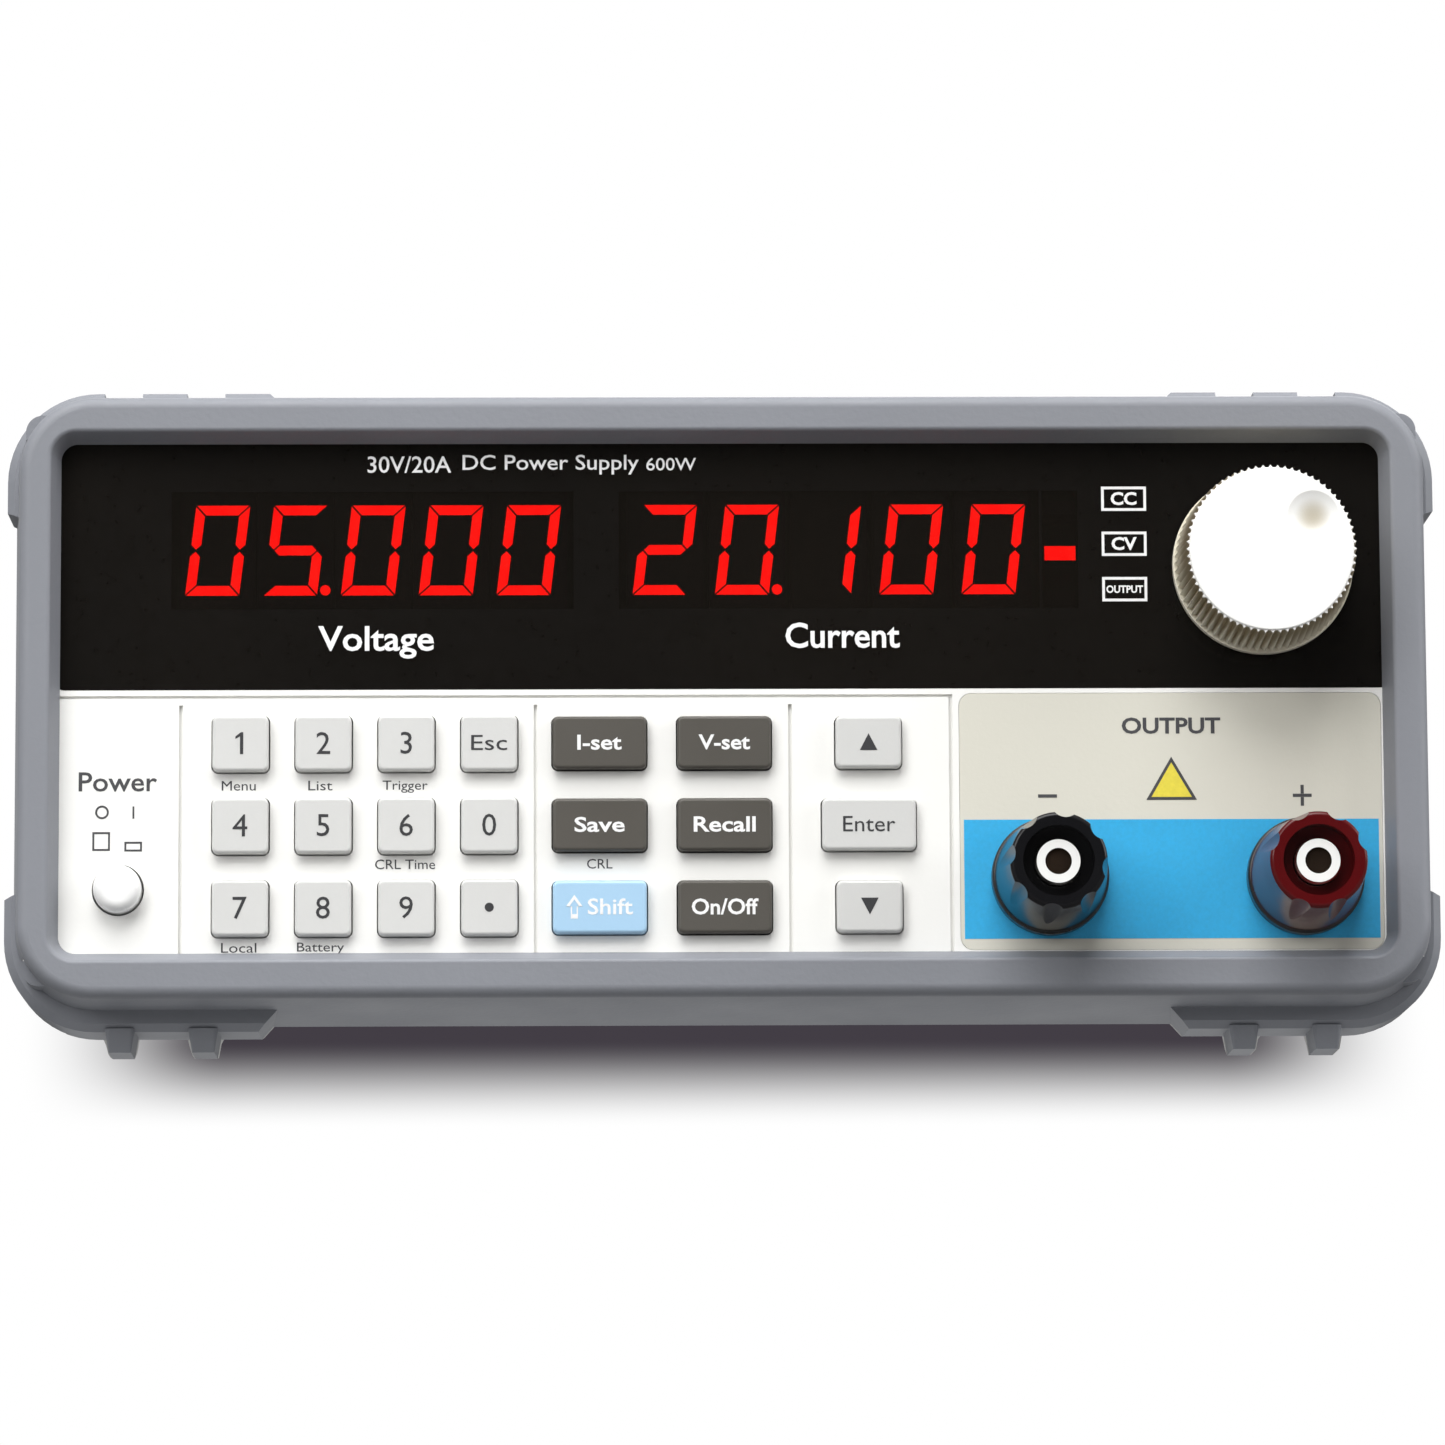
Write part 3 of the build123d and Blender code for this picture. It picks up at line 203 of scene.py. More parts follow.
sight, sheet_front = sight[known], sheet_front[known] - 0.3 * mm
sheet_mesh = bpy.data.meshes.new("under_sheet")
rows = [(eye[0] + slope * (y - eye[1]), y, sheet_z) for slope, y in zip(sight, sheet_front)]
far_y = 4.0
rows += [(eye[0] + slope * (far_y - eye[1]), far_y, sheet_z) for slope in sight]
count = len(sight)
sheet_mesh.from_pydata(rows, [], [(i, i + 1, count + i + 1, count + i) for i in range(count - 1)])
sheet = bpy.data.objects.new("under_sheet", sheet_mesh)
bpy.context.collection.objects.link(sheet)
sheet.visible_diffuse = sheet.visible_glossy = sheet.visible_transmission = sheet.visible_shadow = False
sheet_finish, tree, shader, coords = new_finish("under_sheet")
spot = wire(tree, "ShaderNodeSeparateXYZ", {0: coords})
slope = calc(
    tree, "DIVIDE", calc(tree, "SUBTRACT", spot.outputs["X"], eye[0]),
    calc(tree, "SUBTRACT", spot.outputs["Y"], eye[1]),
)
aside = calc(tree, "ABSOLUTE", calc(tree, "MULTIPLY_ADD", slope, face_y - eye[1], eye[0]))
# Painted shadow: darkest at the unit's front, fading to white behind it and towards both sides.
depth_shade = smooth_step(tree, spot.outputs["Y"], face_y - 0.015, face_y + 0.140, 1.0, 0.0)
ends = smooth_step(tree, aside, 0.076, 0.108, 1.0, 0.0)
shade = calc(tree, "MULTIPLY", depth_shade, ends)
tones = {0: shade, 6: (1, 1, 1, 1), 7: (0.056, 0.048, 0.060, 1)}
shaded = wire(tree, "ShaderNodeMix", tones, data_type="RGBA")
painted_shadow = wire(tree, "ShaderNodeEmission", {0: shaded.outputs[2]}).outputs[0]
clear = wire(tree, "ShaderNodeBsdfTransparent").outputs[0]
from_below = wire(tree, "ShaderNodeNewGeometry").outputs["Backfacing"]
one_way = wire(tree, "ShaderNodeMixShader", {0: from_below, 1: clear, 2: painted_shadow})
tree.links.new(one_way.outputs[0], tree.nodes["Material Output"].inputs[0])
sheet.data.materials.append(sheet_finish)


# ---------------------------------------------------------------------------------------------------------
# Bumpers. Thick grey moulded elastomer, stretched over each end of the case. The skin has a fine spark
# texture from its tool, and its tone drifts a little.
# ---------------------------------------------------------------------------------------------------------
def soften(node, width, segments=2):
    """Breaks a CAD piece's sharp edges with a small round, and lets its flat faces stay flat."""
    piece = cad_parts[node]
    weld = piece.modifiers.new("weld", "WELD")
    weld.merge_threshold = 1e-6
    bevel = piece.modifiers.new("edge_round", "BEVEL")
    bevel.width, bevel.segments, bevel.limit_method = width, segments, "ANGLE"
    bevel.angle_limit = math.radians(34)
    normals = piece.modifiers.new("flat_faces", "WEIGHTED_NORMAL")
    normals.keep_sharp = True


def dress(finish, *nodes):
    """Gives CAD pieces a finish in place of their packed one."""
    for node in nodes:
        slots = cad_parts[node].data.materials
        slots.clear()
        slots.append(finish)


def clouded(tree, coords, scale, low, high, detail=3.0):
    """Noise over the piece, as a number between low and high."""
    inputs = {"Vector": coords, "Scale": scale, "Detail": detail, "Roughness": 0.55}
    noise = wire(tree, "ShaderNodeTexNoise", inputs)
    return wire(tree, "ShaderNodeMapRange", {0: noise.outputs[0], 1: 0.3, 2: 0.7, 3: low, 4: high}).outputs[0]


def between(tree, amount, first, second):
    """A colour that runs from first to second with amount."""
    mix = wire(tree, "ShaderNodeMix", {0: amount}, data_type="RGBA")
    for socket, colour in ((mix.inputs[6], first), (mix.inputs[7], second)):
        if isinstance(colour, bpy.types.NodeSocket):
            tree.links.new(colour, socket)
        else:
            socket.default_value = (*colour, 1)
    return mix.outputs[2]


def skin(tree, shader, coords, scale, depth, detail=2.0, strength=0.6):
    """A fine texture in the surface: bump from noise of that scale and real depth."""
    grain = wire(tree, "ShaderNodeTexNoise", {"Vector": coords, "Scale": scale, "Detail": detail})
    bump = wire(tree, "ShaderNodeBump", {"Height": grain.outputs[0], "Strength": strength, "Distance": depth})
    tree.links.new(bump.outputs[0], shader.inputs["Normal"])


def moulding(name, colour, shade, roughness, spread=0.06, grain=1500.0, depth=0.00003, coat=0.0):
    """Moulded plastic: two close tones, roughness that drifts, and a fine grain from the tool."""
    finish, tree, shader, coords = new_finish(name)
    drift = clouded(tree, coords, 9.0, 0.0, 1.0, detail=2.0)
    speck = clouded(tree, coords, 700.0, 0.0, 0.22, detail=2.0)
    toned = between(tree, drift, colour, shade)
    toned = between(tree, speck, toned, shade)
    tree.links.new(toned, shader.inputs["Base Color"])
    rough = clouded(tree, coords, 60.0, roughness - spread, roughness + spread)
    tree.links.new(rough, shader.inputs["Roughness"])
    skin(tree, shader, coords, grain, depth)
    shader.inputs["Coat Weight"].default_value = coat
    shader.inputs["Coat Roughness"].default_value = 0.08
    return finish


rubber_grey, rubber_shade = (0.226, 0.236, 0.262), (0.200, 0.208, 0.230)
rubber = moulding("bumper_elastomer", rubber_grey, rubber_shade, 0.56, grain=1100.0, depth=0.00006)
for node in ("front_bumper", "rear_bumper"):
    soften(node, 0.5 * mm, segments=3)
dress(rubber, "front_bumper", "rear_bumper")


# ---------------------------------------------------------------------------------------------------------
# Case. The cover, the rear panel and the tray are steel with a fine textured powder coat. The screws are
# zinc-plated.
# ---------------------------------------------------------------------------------------------------------
def powder_coat(name, colour):
    """Powder coat: an orange-peel skin of two scales, even in colour, with faint specks."""
    finish, tree, shader, coords = new_finish(name)
    shade = tuple(channel * 0.86 for channel in colour)
    toned = between(tree, clouded(tree, coords, 5.0, 0.0, 0.5), colour, shade)
    toned = between(tree, clouded(tree, coords, 1400.0, 0.0, 0.35), toned, shade)
    tree.links.new(toned, shader.inputs["Base Color"])
    tree.links.new(clouded(tree, coords, 500.0, 0.42, 0.6), shader.inputs["Roughness"])
    skin(tree, shader, coords, 900.0, 0.00012, detail=4.0)
    return finish


def plated(name, colour, shade, roughness, grain=240.0):
    """Plated metal: spangled tone, roughness that drifts, and faint drawing marks."""
    finish, tree, shader, coords = new_finish(name)
    toned = between(tree, clouded(tree, coords, grain, 0.0, 1.0, detail=5.0), colour, shade)
    tree.links.new(toned, shader.inputs["Base Color"])
    shader.inputs["Metallic"].default_value = 1.0
    rough = clouded(tree, coords, grain * 0.6, roughness * 0.8, roughness * 1.3)
    tree.links.new(rough, shader.inputs["Roughness"])
    skin(tree, shader, coords, 2200.0, 0.00001)
    return finish


cover_paint = powder_coat("cover_powder_coat", (0.40, 0.40, 0.385))
zinc = plated("zinc_plate", (0.66, 0.66, 0.64), (0.52, 0.52, 0.50), 0.32)
dress(cover_paint, "top_cover", "rear_panel", "base_tray")
dress(zinc, "case_screws")

# ---------------------------------------------------------------------------------------------------------
# Front panel. One white satin moulding with grooves between its groups of keys. Its captions are
# screen-printed in dark grey ink.
# ---------------------------------------------------------------------------------------------------------
white, white_shade = (0.88, 0.875, 0.85), (0.845, 0.84, 0.81)
panel_white = moulding("panel_white", white, white_shade, 0.42, grain=1800.0, depth=0.00002)
dress(panel_white, "front_panel")


def ink(name, colour, roughness=0.5):
    """Screen ink: nearly flat, with a faint edge of uneven lay."""
    finish, tree, shader, coords = new_finish(name)
    shade = tuple(channel * 0.8 for channel in colour)
    toned = between(tree, clouded(tree, coords, 1800.0, 0.0, 0.5), colour, shade)
    tree.links.new(toned, shader.inputs["Base Color"])
    rough = clouded(tree, coords, 900.0, roughness - 0.08, roughness + 0.08)
    tree.links.new(rough, shader.inputs["Roughness"])
    return finish


def words(text, x, z, tall, wide=None, bold=0.0):
    """Lettering as (points, faces) in millimetres across the panel: x is its middle and z its foot.

    The outline is scaled so that its height is tall and its width is wide, or in proportion. Depth is
    0 at the back and 1 at the front. The points are (x, z, depth).
    """
    curve = bpy.data.curves.new("lettering", "FONT")
    curve.body = text
    curve.extrude = 0.5
    curve.offset = bold
    curve.resolution_u = 3
    carrier = bpy.data.objects.new("lettering", curve)
    bpy.context.collection.objects.link(carrier)
    shape = bpy.data.meshes.new_from_object(carrier.evaluated_get(bpy.context.evaluated_depsgraph_get()))
    points = np.empty(len(shape.vertices) * 3)
    shape.vertices.foreach_get("co", points)
    points = points.reshape(-1, 3)
    faces = [tuple(face.vertices) for face in shape.polygons]
    bpy.data.objects.remove(carrier)
    bpy.data.curves.remove(curve)
    bpy.data.meshes.remove(shape)
    low, high = points.min(0), points.max(0)
    scale_z = tall / (high[1] - low[1])
    scale_x = wide / (high[0] - low[0]) if wide else scale_z
    across = (points[:, 0] - (low[0] + high[0]) / 2) * scale_x
    up = (points[:, 1] - low[1]) * scale_z
    return np.column_stack([x + across, z + up, points[:, 2] + 0.5]), faces


def patch(outline):
    """A flat shape as (points, faces): its outline, counter-clockwise as seen, at depth 0 and at depth 1."""
    outline = np.asarray(outline, float)
    count = len(outline)
    points = np.vstack([np.column_stack([outline, np.full(count, depth)]) for depth in (0.0, 1.0)])
    sides = [(i, (i + 1) % count, count + (i + 1) % count, count + i) for i in range(count)]
    return points, [tuple(range(count))[::-1], tuple(range(count, 2 * count)), *sides]


def hoop(outer, inner):
    """A closed line as (points, faces): the band between two outlines with as many points as each other."""
    count = len(outer)
    flat = np.vstack([outer, inner])
    points = np.vstack([np.column_stack([flat, np.full(2 * count, depth)]) for depth in (0.0, 1.0)])
    faces = []
    for i in range(count):
        j = (i + 1) % count
        faces += [
            (2 * count + i, 2 * count + j, 3 * count + j, 3 * count + i), (j, i, count + i, count + j),
            (i, j, 2 * count + j, 2 * count + i), (count + j, count + i, 3 * count + i, 3 * count + j),
        ]
    return points, faces


def frame_line(x, z, wide, tall, line):
    """The outline of a rectangle about (x, z), line wide, inside its size."""
    corners = np.array([(-1, -1), (1, -1), (1, 1), (-1, 1)]) / 2
    middle = np.array((x, z))
    return hoop(middle + corners * (wide, tall), middle + corners * (wide - 2 * line, tall - 2 * line))


def bar(x, z, wide, tall):
    """A filled rectangle about (x, z)."""
    left, right_side, low, high = x - wide / 2, x + wide / 2, z - tall / 2, z + tall / 2
    return patch([(left, low), (right_side, low), (right_side, high), (left, high)])


def round_line(x, z, radius, line, steps=28):
    """A ring line about (x, z)."""
    angle = np.arange(steps) * 2 * math.pi / steps
    circle = np.column_stack([np.cos(angle), np.sin(angle)])
    return hoop(np.array((x, z)) + circle * radius, np.array((x, z)) + circle * (radius - line))


def printed(name, shapes, finish, body, y_back, thick=0.04, facing_rear=False):
    """One piece from flat shapes: thick millimetres of ink that starts at y_back, on the front or the rear.

    A point (x, z, depth) goes to (x, y_back - thick * depth, z) from the panel's middle, and on the rear to
    (-x, y_back + thick * depth, z), which is the same turn seen from behind.
    """
    points, faces, start = [], [], 0
    for shape_points, shape_faces in shapes:
        points.append(shape_points)
        faces += [tuple(start + i for i in face) for face in shape_faces]
        start += len(shape_points)
    flat = np.vstack(points)
    way = -1 if facing_rear else 1
    place = np.column_stack([
        way * flat[:, 0] * mm, y_back - way * flat[:, 2] * thick * mm, mid_z + flat[:, 1] * mm,
    ])
    mesh = bpy.data.meshes.new(name)
    mesh.from_pydata(place.tolist(), [], faces)
    mesh.materials.append(finish)
    piece = bpy.data.objects.new(name, mesh)
    bpy.context.collection.objects.link(piece)
    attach(piece, body)


# The case's corners come through the bumpers, so a block of the same rubber covers each of them.
corner = []
for side in (-1, 1):
    for way in (-1, 1):
        quarter = np.linspace(0, math.pi / 2, 9)
        round_end = np.column_stack([104.8 + 2.6 * np.cos(quarter), 41.65 + 2.6 * np.sin(quarter)])
        outline = np.vstack([[(102.6, 40.4), (107.4, 40.4)], round_end, [(102.6, 44.25)]]) * (side, way)
        corner.append(patch(outline if side * way > 0 else outline[::-1]))
printed("front_bumper_corners", corner, rubber, "case", face_y + 6.5 * mm, thick=6.7)
rear_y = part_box("rear_panel")[1].y
printed("rear_bumper_corners", corner, rubber, "case", rear_y + 0.2 * mm, thick=6.7)

grey_ink = ink("grey_ink", (0.055, 0.055, 0.06))
captions = [
    words("Menu", -74.4, -14.2, 1.5, 5.2), words("List", -61.9, -14.2, 1.5, 3.7),
    words("Trigger", -48.9, -14.6, 1.9, 6.9), words("CRL Time", -48.9, -26.4, 1.5, 9.2),
    words("CRL", -19.1, -26.4, 1.5, 3.9), words("Local", -74.3, -39.2, 1.5, 5.4),
    words("Battery", -61.8, -39.5, 1.85, 7.2), words("Power", -92.9, -14.3, 3.0, 12.0, 0.01),
    words("I", -90.5, -18.5, 1.9), round_line(-95.3, -17.5, 1.05, 0.3),
    frame_line(-95.4, -22.0, 2.7, 2.9, 0.3), frame_line(-90.5, -22.8, 2.7, 1.5, 0.3),
]
printed("panel_captions", captions, grey_ink, "case", face_y)

# ---------------------------------------------------------------------------------------------------------
# Display. Ten seven-segment modules and three bar lamps stand on the front board. A smoked acrylic window
# covers them, backed with black ink except over the digits and lamps, and printed with white names.
# ---------------------------------------------------------------------------------------------------------
window_low, window_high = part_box("display_window")
smoked, tree, shader, coords = new_finish("smoked_acrylic")
haze = clouded(tree, coords, 14.0, 0.0, 1.0)
tree.links.new(between(tree, haze, (0.006, 0.005, 0.004), (0.010, 0.008, 0.006)), shader.inputs["Base Color"])
tree.links.new(clouded(tree, coords, 240.0, 0.035, 0.075), shader.inputs["Roughness"])
shader.inputs["IOR"].default_value = 1.49
shader.inputs["Alpha"].default_value = 0.65
shader.inputs["Specular IOR Level"].default_value = 0.2
skin(tree, shader, coords, 30.0, 0.00002, strength=0.15)
dress(smoked, "display_window")
soften("display_window", 0.15 * mm)

digit_tall, digit_wide, stroke, gap, slant = 14.05, 8.3, 1.5, 0.18, 0.12
digit_z = 23.45
digit_rows = {"voltage": (-77.9, 12.0, "05.000"), "current": (-8.9, 12.7, "20.100")}
lit_bars = {"0": "abcdef", "1": "bc", "2": "abdeg", "5": "acdfg"}


def digit_bars(x):
    """The seven bars of one digit about x, as outlines: a over f and b, g across, then e and c over d."""
    w, h, t, g = digit_wide / 2, digit_tall / 2, stroke, gap
    top = np.array([(w - g, h), (-w + g, h), (-w + t + g, h - t), (w - t - g, h - t)])
    side = np.array([(-w, h - g), (-w, t / 2 + g), (-w + t / 2, g), (-w + t, t / 2 + g), (-w + t, h - t - g)])
    middle = np.array([
        (-w + t / 2 + g, 0), (-w + t + g, -t / 2), (w - t - g, -t / 2),
        (w - t / 2 - g, 0), (w - t - g, t / 2), (-w + t + g, t / 2),
    ])
    outlines = {
        "a": top, "b": (side * (-1, 1))[::-1], "c": side * (-1, -1), "d": (top * (1, -1))[::-1],
        "e": (side * (1, -1))[::-1], "f": side, "g": middle,
    }
    return {key: [(x + px + slant * pz, digit_z + pz) for px, pz in shape] for key, shape in outlines.items()}


def disc(x, z, radius, steps=20):
    """A filled round spot about (x, z)."""
    angle = np.arange(steps) * 2 * math.pi / steps
    return patch(np.column_stack([x + radius * np.cos(angle), z + radius * np.sin(angle)]))


lit, unlit = [], []
for first_x, pitch, reading in digit_rows.values():
    whole, part = reading.split(".")
    for i, character in enumerate(whole + part):
        x = first_x + i * pitch
        for key, outline in digit_bars(x).items():
            (lit if key in lit_bars[character] else unlit).append(patch(outline))
        point = disc(x + 4.6, digit_z - digit_tall / 2 + 0.8, 0.8)
        (lit if i == len(whole) - 1 else unlit).append(point)
lamp_low, lamp_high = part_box("status_lamps")
lamp_x = (lamp_low.x + lamp_high.x) / 2 / mm
for z, shapes in ((29.9, unlit), (22.8, lit), (15.7, unlit)):
    shapes.append(bar(lamp_x, z, 4.8, 2.2))

glowing, tree, shader, coords = new_finish("lit_segment")
shader.inputs["Base Color"].default_value = (0.25, 0.005, 0.003, 1)
core = clouded(tree, coords, 400.0, 0.0, 1.0)
tree.links.new(between(tree, core, (1.0, 0.004, 0.002), (0.9, 0.0, 0.0)), shader.inputs["Emission Color"])
shader.inputs["Emission Strength"].default_value = 9.0
shader.inputs["Roughness"].default_value = 0.4
resting = moulding("unlit_segment", (0.020, 0.012, 0.011), (0.016, 0.010, 0.009), 0.5)
module_black = moulding("module_black", (0.008, 0.007, 0.007), (0.006, 0.005, 0.005), 0.6)
module_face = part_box("digit_modules")[0].y
printed("lit_segments", lit, glowing, "case", module_face, thick=0.10)
printed("unlit_segments", unlit, resting, "case", module_face, thick=0.05)
dress(module_black, "digit_modules", "status_lamps")

black_ink = ink("black_ink", (0.006, 0.006, 0.006), 0.35)
wide = window_high.x / mm - 0.6
low_z, high_z = (window_low.z - mid_z) / mm + 0.3, (window_high.z - mid_z) / mm - 0.3
clear_low, clear_high = 14.2, 32.6
mask_shapes = [
    bar(0, (low_z + clear_low) / 2, 2 * wide, clear_low - low_z),
    bar(0, (clear_high + high_z) / 2, 2 * wide, high_z - clear_high),
]
edges = (-wide, -85.0, -23.0, -16.0, 49.0, 49.4, 55.0, wide)
for left, right_edge in zip(edges[::2], edges[1::2]):
    middle_z = (clear_low + clear_high) / 2
    mask_shapes.append(bar((left + right_edge) / 2, middle_z, right_edge - left, clear_high - clear_low))
printed("window_ink", mask_shapes, black_ink, "case", window_high.y - 0.1 * mm, thick=0.05)

white_ink = ink("white_ink", (0.86, 0.86, 0.86))
names = [
    words("Voltage", -53.4, 6.2, 5.1, 17.8, 0.016), words("Current", 18.4, 7.7, 4.0, 17.6, 0.016),
    words("30V/20A", -48.3, 35.2, 2.6, 12.9, 0.006), words("DC Power Supply", -26.5, 34.9, 3.1, 27.2, 0.006),
    words("600W", -7.9, 35.5, 2.0, 7.7, 0.006), words("CC", 62.0, 29.95, 2.05, 4.0, 0.03),
    words("CV", 62.0, 22.9, 2.05, 3.9, 0.03), words("OUTPUT", 62.0, 16.2, 1.2, 5.7, 0.03),
]
names += [frame_line(62.0, z, 6.95, 3.8, 0.42) for z in (30.95, 23.9, 16.8)]
printed("window_names", names, white_ink, "case", window_low.y)

# ---------------------------------------------------------------------------------------------------------
# Keys. Twenty-one satin caps on a silicone mat. Each has its legend printed on its own face, and moves
# with its own body.
# ---------------------------------------------------------------------------------------------------------
key_grey = moulding("key_grey", (0.62, 0.62, 0.605), (0.58, 0.58, 0.565), 0.45, grain=1900.0, depth=0.00002)
umber, umber_shade = (0.075, 0.068, 0.057), (0.066, 0.060, 0.050)
key_umber = moulding("key_umber", umber, umber_shade, 0.5, grain=1900.0, depth=0.00002)
azure, azure_shade = (0.380, 0.590, 0.780), (0.350, 0.550, 0.740)
key_azure = moulding("key_azure", azure, azure_shade, 0.45, grain=1900.0, depth=0.00002)
legend_ink = ink("legend_ink", (0.030, 0.030, 0.033))
legends = {
    "key_1": "1", "key_2": "2", "key_3": "3", "key_escape": "Esc", "key_4": "4", "key_5": "5", "key_6": "6",
    "key_0": "0", "key_7": "7", "key_8": "8", "key_9": "9", "key_point": "dot", "key_i_set": "I-set",
    "key_v_set": "V-set", "key_save": "Save", "key_recall": "Recall", "key_shift": "Shift",
    "key_on_off": "On/Off", "key_up": "up", "key_enter": "Enter", "key_down": "down",
}
legend_sizes = {
    "Esc": (2.35, 5.5), "Enter": (2.4, 8.0), "I-set": (2.35, 6.8), "V-set": (2.35, 7.9), "Save": (2.35, 7.7),
    "Recall": (2.4, 9.5), "On/Off": (2.5, 10.2),
}
for key, legend in legends.items():
    key_low, key_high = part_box(key)
    x, z = (key_low.x + key_high.x) / 2 / mm, ((key_low.z + key_high.z) / 2 - mid_z) / mm
    dark = key in ("key_i_set", "key_v_set", "key_save", "key_recall", "key_on_off")
    dress(key_umber if dark else key_azure if key == "key_shift" else key_grey, key)
    if legend == "1":
        stem = [(-0.25, -1.7), (0.25, -1.7), (0.25, 1.7)]
        one = stem + [(-0.1, 1.7), (-0.95, 1.05), (-0.95, 0.65), (-0.25, 1.05)]
        shapes = [patch(np.array(one) + (x + 0.2, z))]
    elif legend == "dot":
        shapes = [disc(x, z, 0.7)]
    elif legend in ("up", "down"):
        way = 1 if legend == "up" else -1
        arrow = [(x - 1.35, z - way * 1.3), (x + 1.35, z - way * 1.3), (x, z + way * 1.3)]
        shapes = [patch(arrow if way > 0 else arrow[::-1])]
    elif legend == "Shift":
        arrow = np.array([
            (-0.55, -1.8), (0.55, -1.8), (0.55, 0.1), (1.25, 0.1), (0.0, 1.85), (-1.25, 0.1), (-0.55, 0.1),
        ])
        place = np.array((x - 3.9, z))
        shapes = [words(legend, x + 1.6, z - 1.2, 2.5, 6.9, 0.012), hoop(arrow + place, arrow * 0.62 + place)]
    else:
        tall, wide = legend_sizes.get(legend, (3.4, None))
        shapes = [words(legend, x, z - tall / 2, tall, wide, 0.02 if dark else 0.0)]
    finish = white_ink if dark or key == "key_shift" else legend_ink
    printed(key + "_legend", shapes, finish, key, key_low.y)
silicone = moulding("mat_silicone", (0.52, 0.52, 0.50), (0.48, 0.48, 0.46), 0.6)
dress(silicone, "keypad_mat")

# ---------------------------------------------------------------------------------------------------------
# Knob and power button. The knob is one satin white moulding, pushed on the encoder's plated shaft. Shade is
# painted on it: cream on its sides and brown in the grooves of its ribs. The button is polished white, on a
# long stem.
# ---------------------------------------------------------------------------------------------------------
knob_tone, knob_shade = (0.87, 0.865, 0.84), (0.82, 0.815, 0.79)
knob_white = moulding("knob_white", knob_tone, knob_shade, 0.38, grain=2000.0, depth=0.000015)
button_white = moulding("button_white", (0.87, 0.87, 0.86), (0.83, 0.83, 0.82), 0.24, coat=0.3)
tree = knob_white.node_tree
shader = tree.nodes["Principled BSDF"]
plain = shader.inputs["Base Color"].links[0].from_socket
knob_low, knob_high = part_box("knob")
knob_x, knob_z = (knob_low.x + knob_high.x) / 2, (knob_low.z + knob_high.z) / 2
knob_spot = wire(tree, "ShaderNodeSeparateXYZ", {0: tree.nodes["Texture Coordinate"].outputs["Object"]})
squares = []
for axis, middle in (("X", knob_x), ("Z", knob_z)):
    offset = calc(tree, "SUBTRACT", knob_spot.outputs[axis], middle)
    squares.append(calc(tree, "MULTIPLY", offset, offset))
radius = calc(tree, "POWER", calc(tree, "ADD", *squares), 0.5)
# Painted shade: the knob's sides behind its face turn cream, and the grooves between its ribs brown.
groove = smooth_step(tree, radius, 12.85 * mm, 13.45 * mm, 1.0, 0.0)
behind_face = smooth_step(tree, knob_spot.outputs["Y"], knob_low.y + 0.3 * mm, knob_low.y + 1.2 * mm)
groove_shade = calc(tree, "MULTIPLY", groove, behind_face)
shaded_sides = between(tree, behind_face, plain, (0.74, 0.70, 0.58))
tree.links.new(between(tree, groove_shade, shaded_sides, (0.30, 0.24, 0.14)), shader.inputs["Base Color"])
dress(knob_white, "knob")
dress(button_white, "power_button")
dress(zinc, "encoder_shaft", "encoder_body")

# ---------------------------------------------------------------------------------------------------------
# Output plate. A printed plate, warm grey with a blue field behind the posts, a plain yellow triangle
# and the two signs.
# ---------------------------------------------------------------------------------------------------------
plate_low, plate_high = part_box("output_plate")
plate_face = plate_low.y
plate_grey = moulding("plate_grey", (0.66, 0.645, 0.565), (0.63, 0.615, 0.535), 0.5)
blue_ink = ink("blue_ink", (0.025, 0.40, 0.74), 0.5)
yellow_ink = ink("yellow_ink", (0.78, 0.66, 0.06), 0.5)
dress(plate_grey, "output_plate")
plate_left, plate_right = plate_low.x / mm, plate_high.x / mm
band_top, band_bottom = -19.0, -37.4
band_mid = (band_top + band_bottom) / 2
band = [bar((plate_left + plate_right) / 2, band_mid, plate_right - plate_left - 1.2, band_top - band_bottom)]
printed("output_blue_field", band, blue_ink, "case", plate_face, thick=0.03)
triangle = np.array([(64.9, -16.0), (72.7, -16.0), (68.8, -9.3)])
inner = triangle.mean(0) + (triangle - triangle.mean(0)) * 0.80
printed("output_triangle", [patch(inner)], yellow_ink, "case", plate_face, thick=0.03)
signs = [
    words("OUTPUT", 68.85, -5.75, 2.55, 15.2, 0.024), hoop(triangle, inner),
    bar(49.7, -15.35, 2.9, 0.5), bar(88.9, -15.35, 2.9, 0.5),
    bar(88.9, -14.4, 0.5, 1.35), bar(88.9, -16.3, 0.5, 1.35),
]
printed("output_names", signs, grey_ink, "case", plate_face)

# ---------------------------------------------------------------------------------------------------------
# Binding posts. Nickel-plated brass studs with a white-rimmed socket, its hole lined with painted shade,
# fixed collars, a captive clamp washer and a polished screw cap on each: black for minus and dark red for
# plus.
# ---------------------------------------------------------------------------------------------------------
nickel = plated("nickel_plate", (0.80, 0.78, 0.72), (0.70, 0.68, 0.62), 0.16, grain=300.0)
black, black_shade = (0.004, 0.004, 0.005), (0.006, 0.006, 0.007)
cap_black = moulding("cap_black", black, black_shade, 0.2, spread=0.05, depth=0.00001)
red, red_shade = (0.085, 0.003, 0.004), (0.065, 0.002, 0.003)
cap_red = moulding("cap_red", red, red_shade, 0.2, spread=0.05, depth=0.00001)
for finish in (cap_black, cap_red):
    finish.node_tree.nodes["Principled BSDF"].inputs["Specular IOR Level"].default_value = 0.25
collar_black = moulding("collar_black", (0.012, 0.012, 0.013), (0.018, 0.018, 0.019), 0.3)
dress(nickel, "post_studs", "post_nuts", "negative_clamp_ring", "positive_clamp_ring")
dress(cap_black, "negative_cap")
dress(cap_red, "positive_cap")
dress(collar_black, "post_collars")

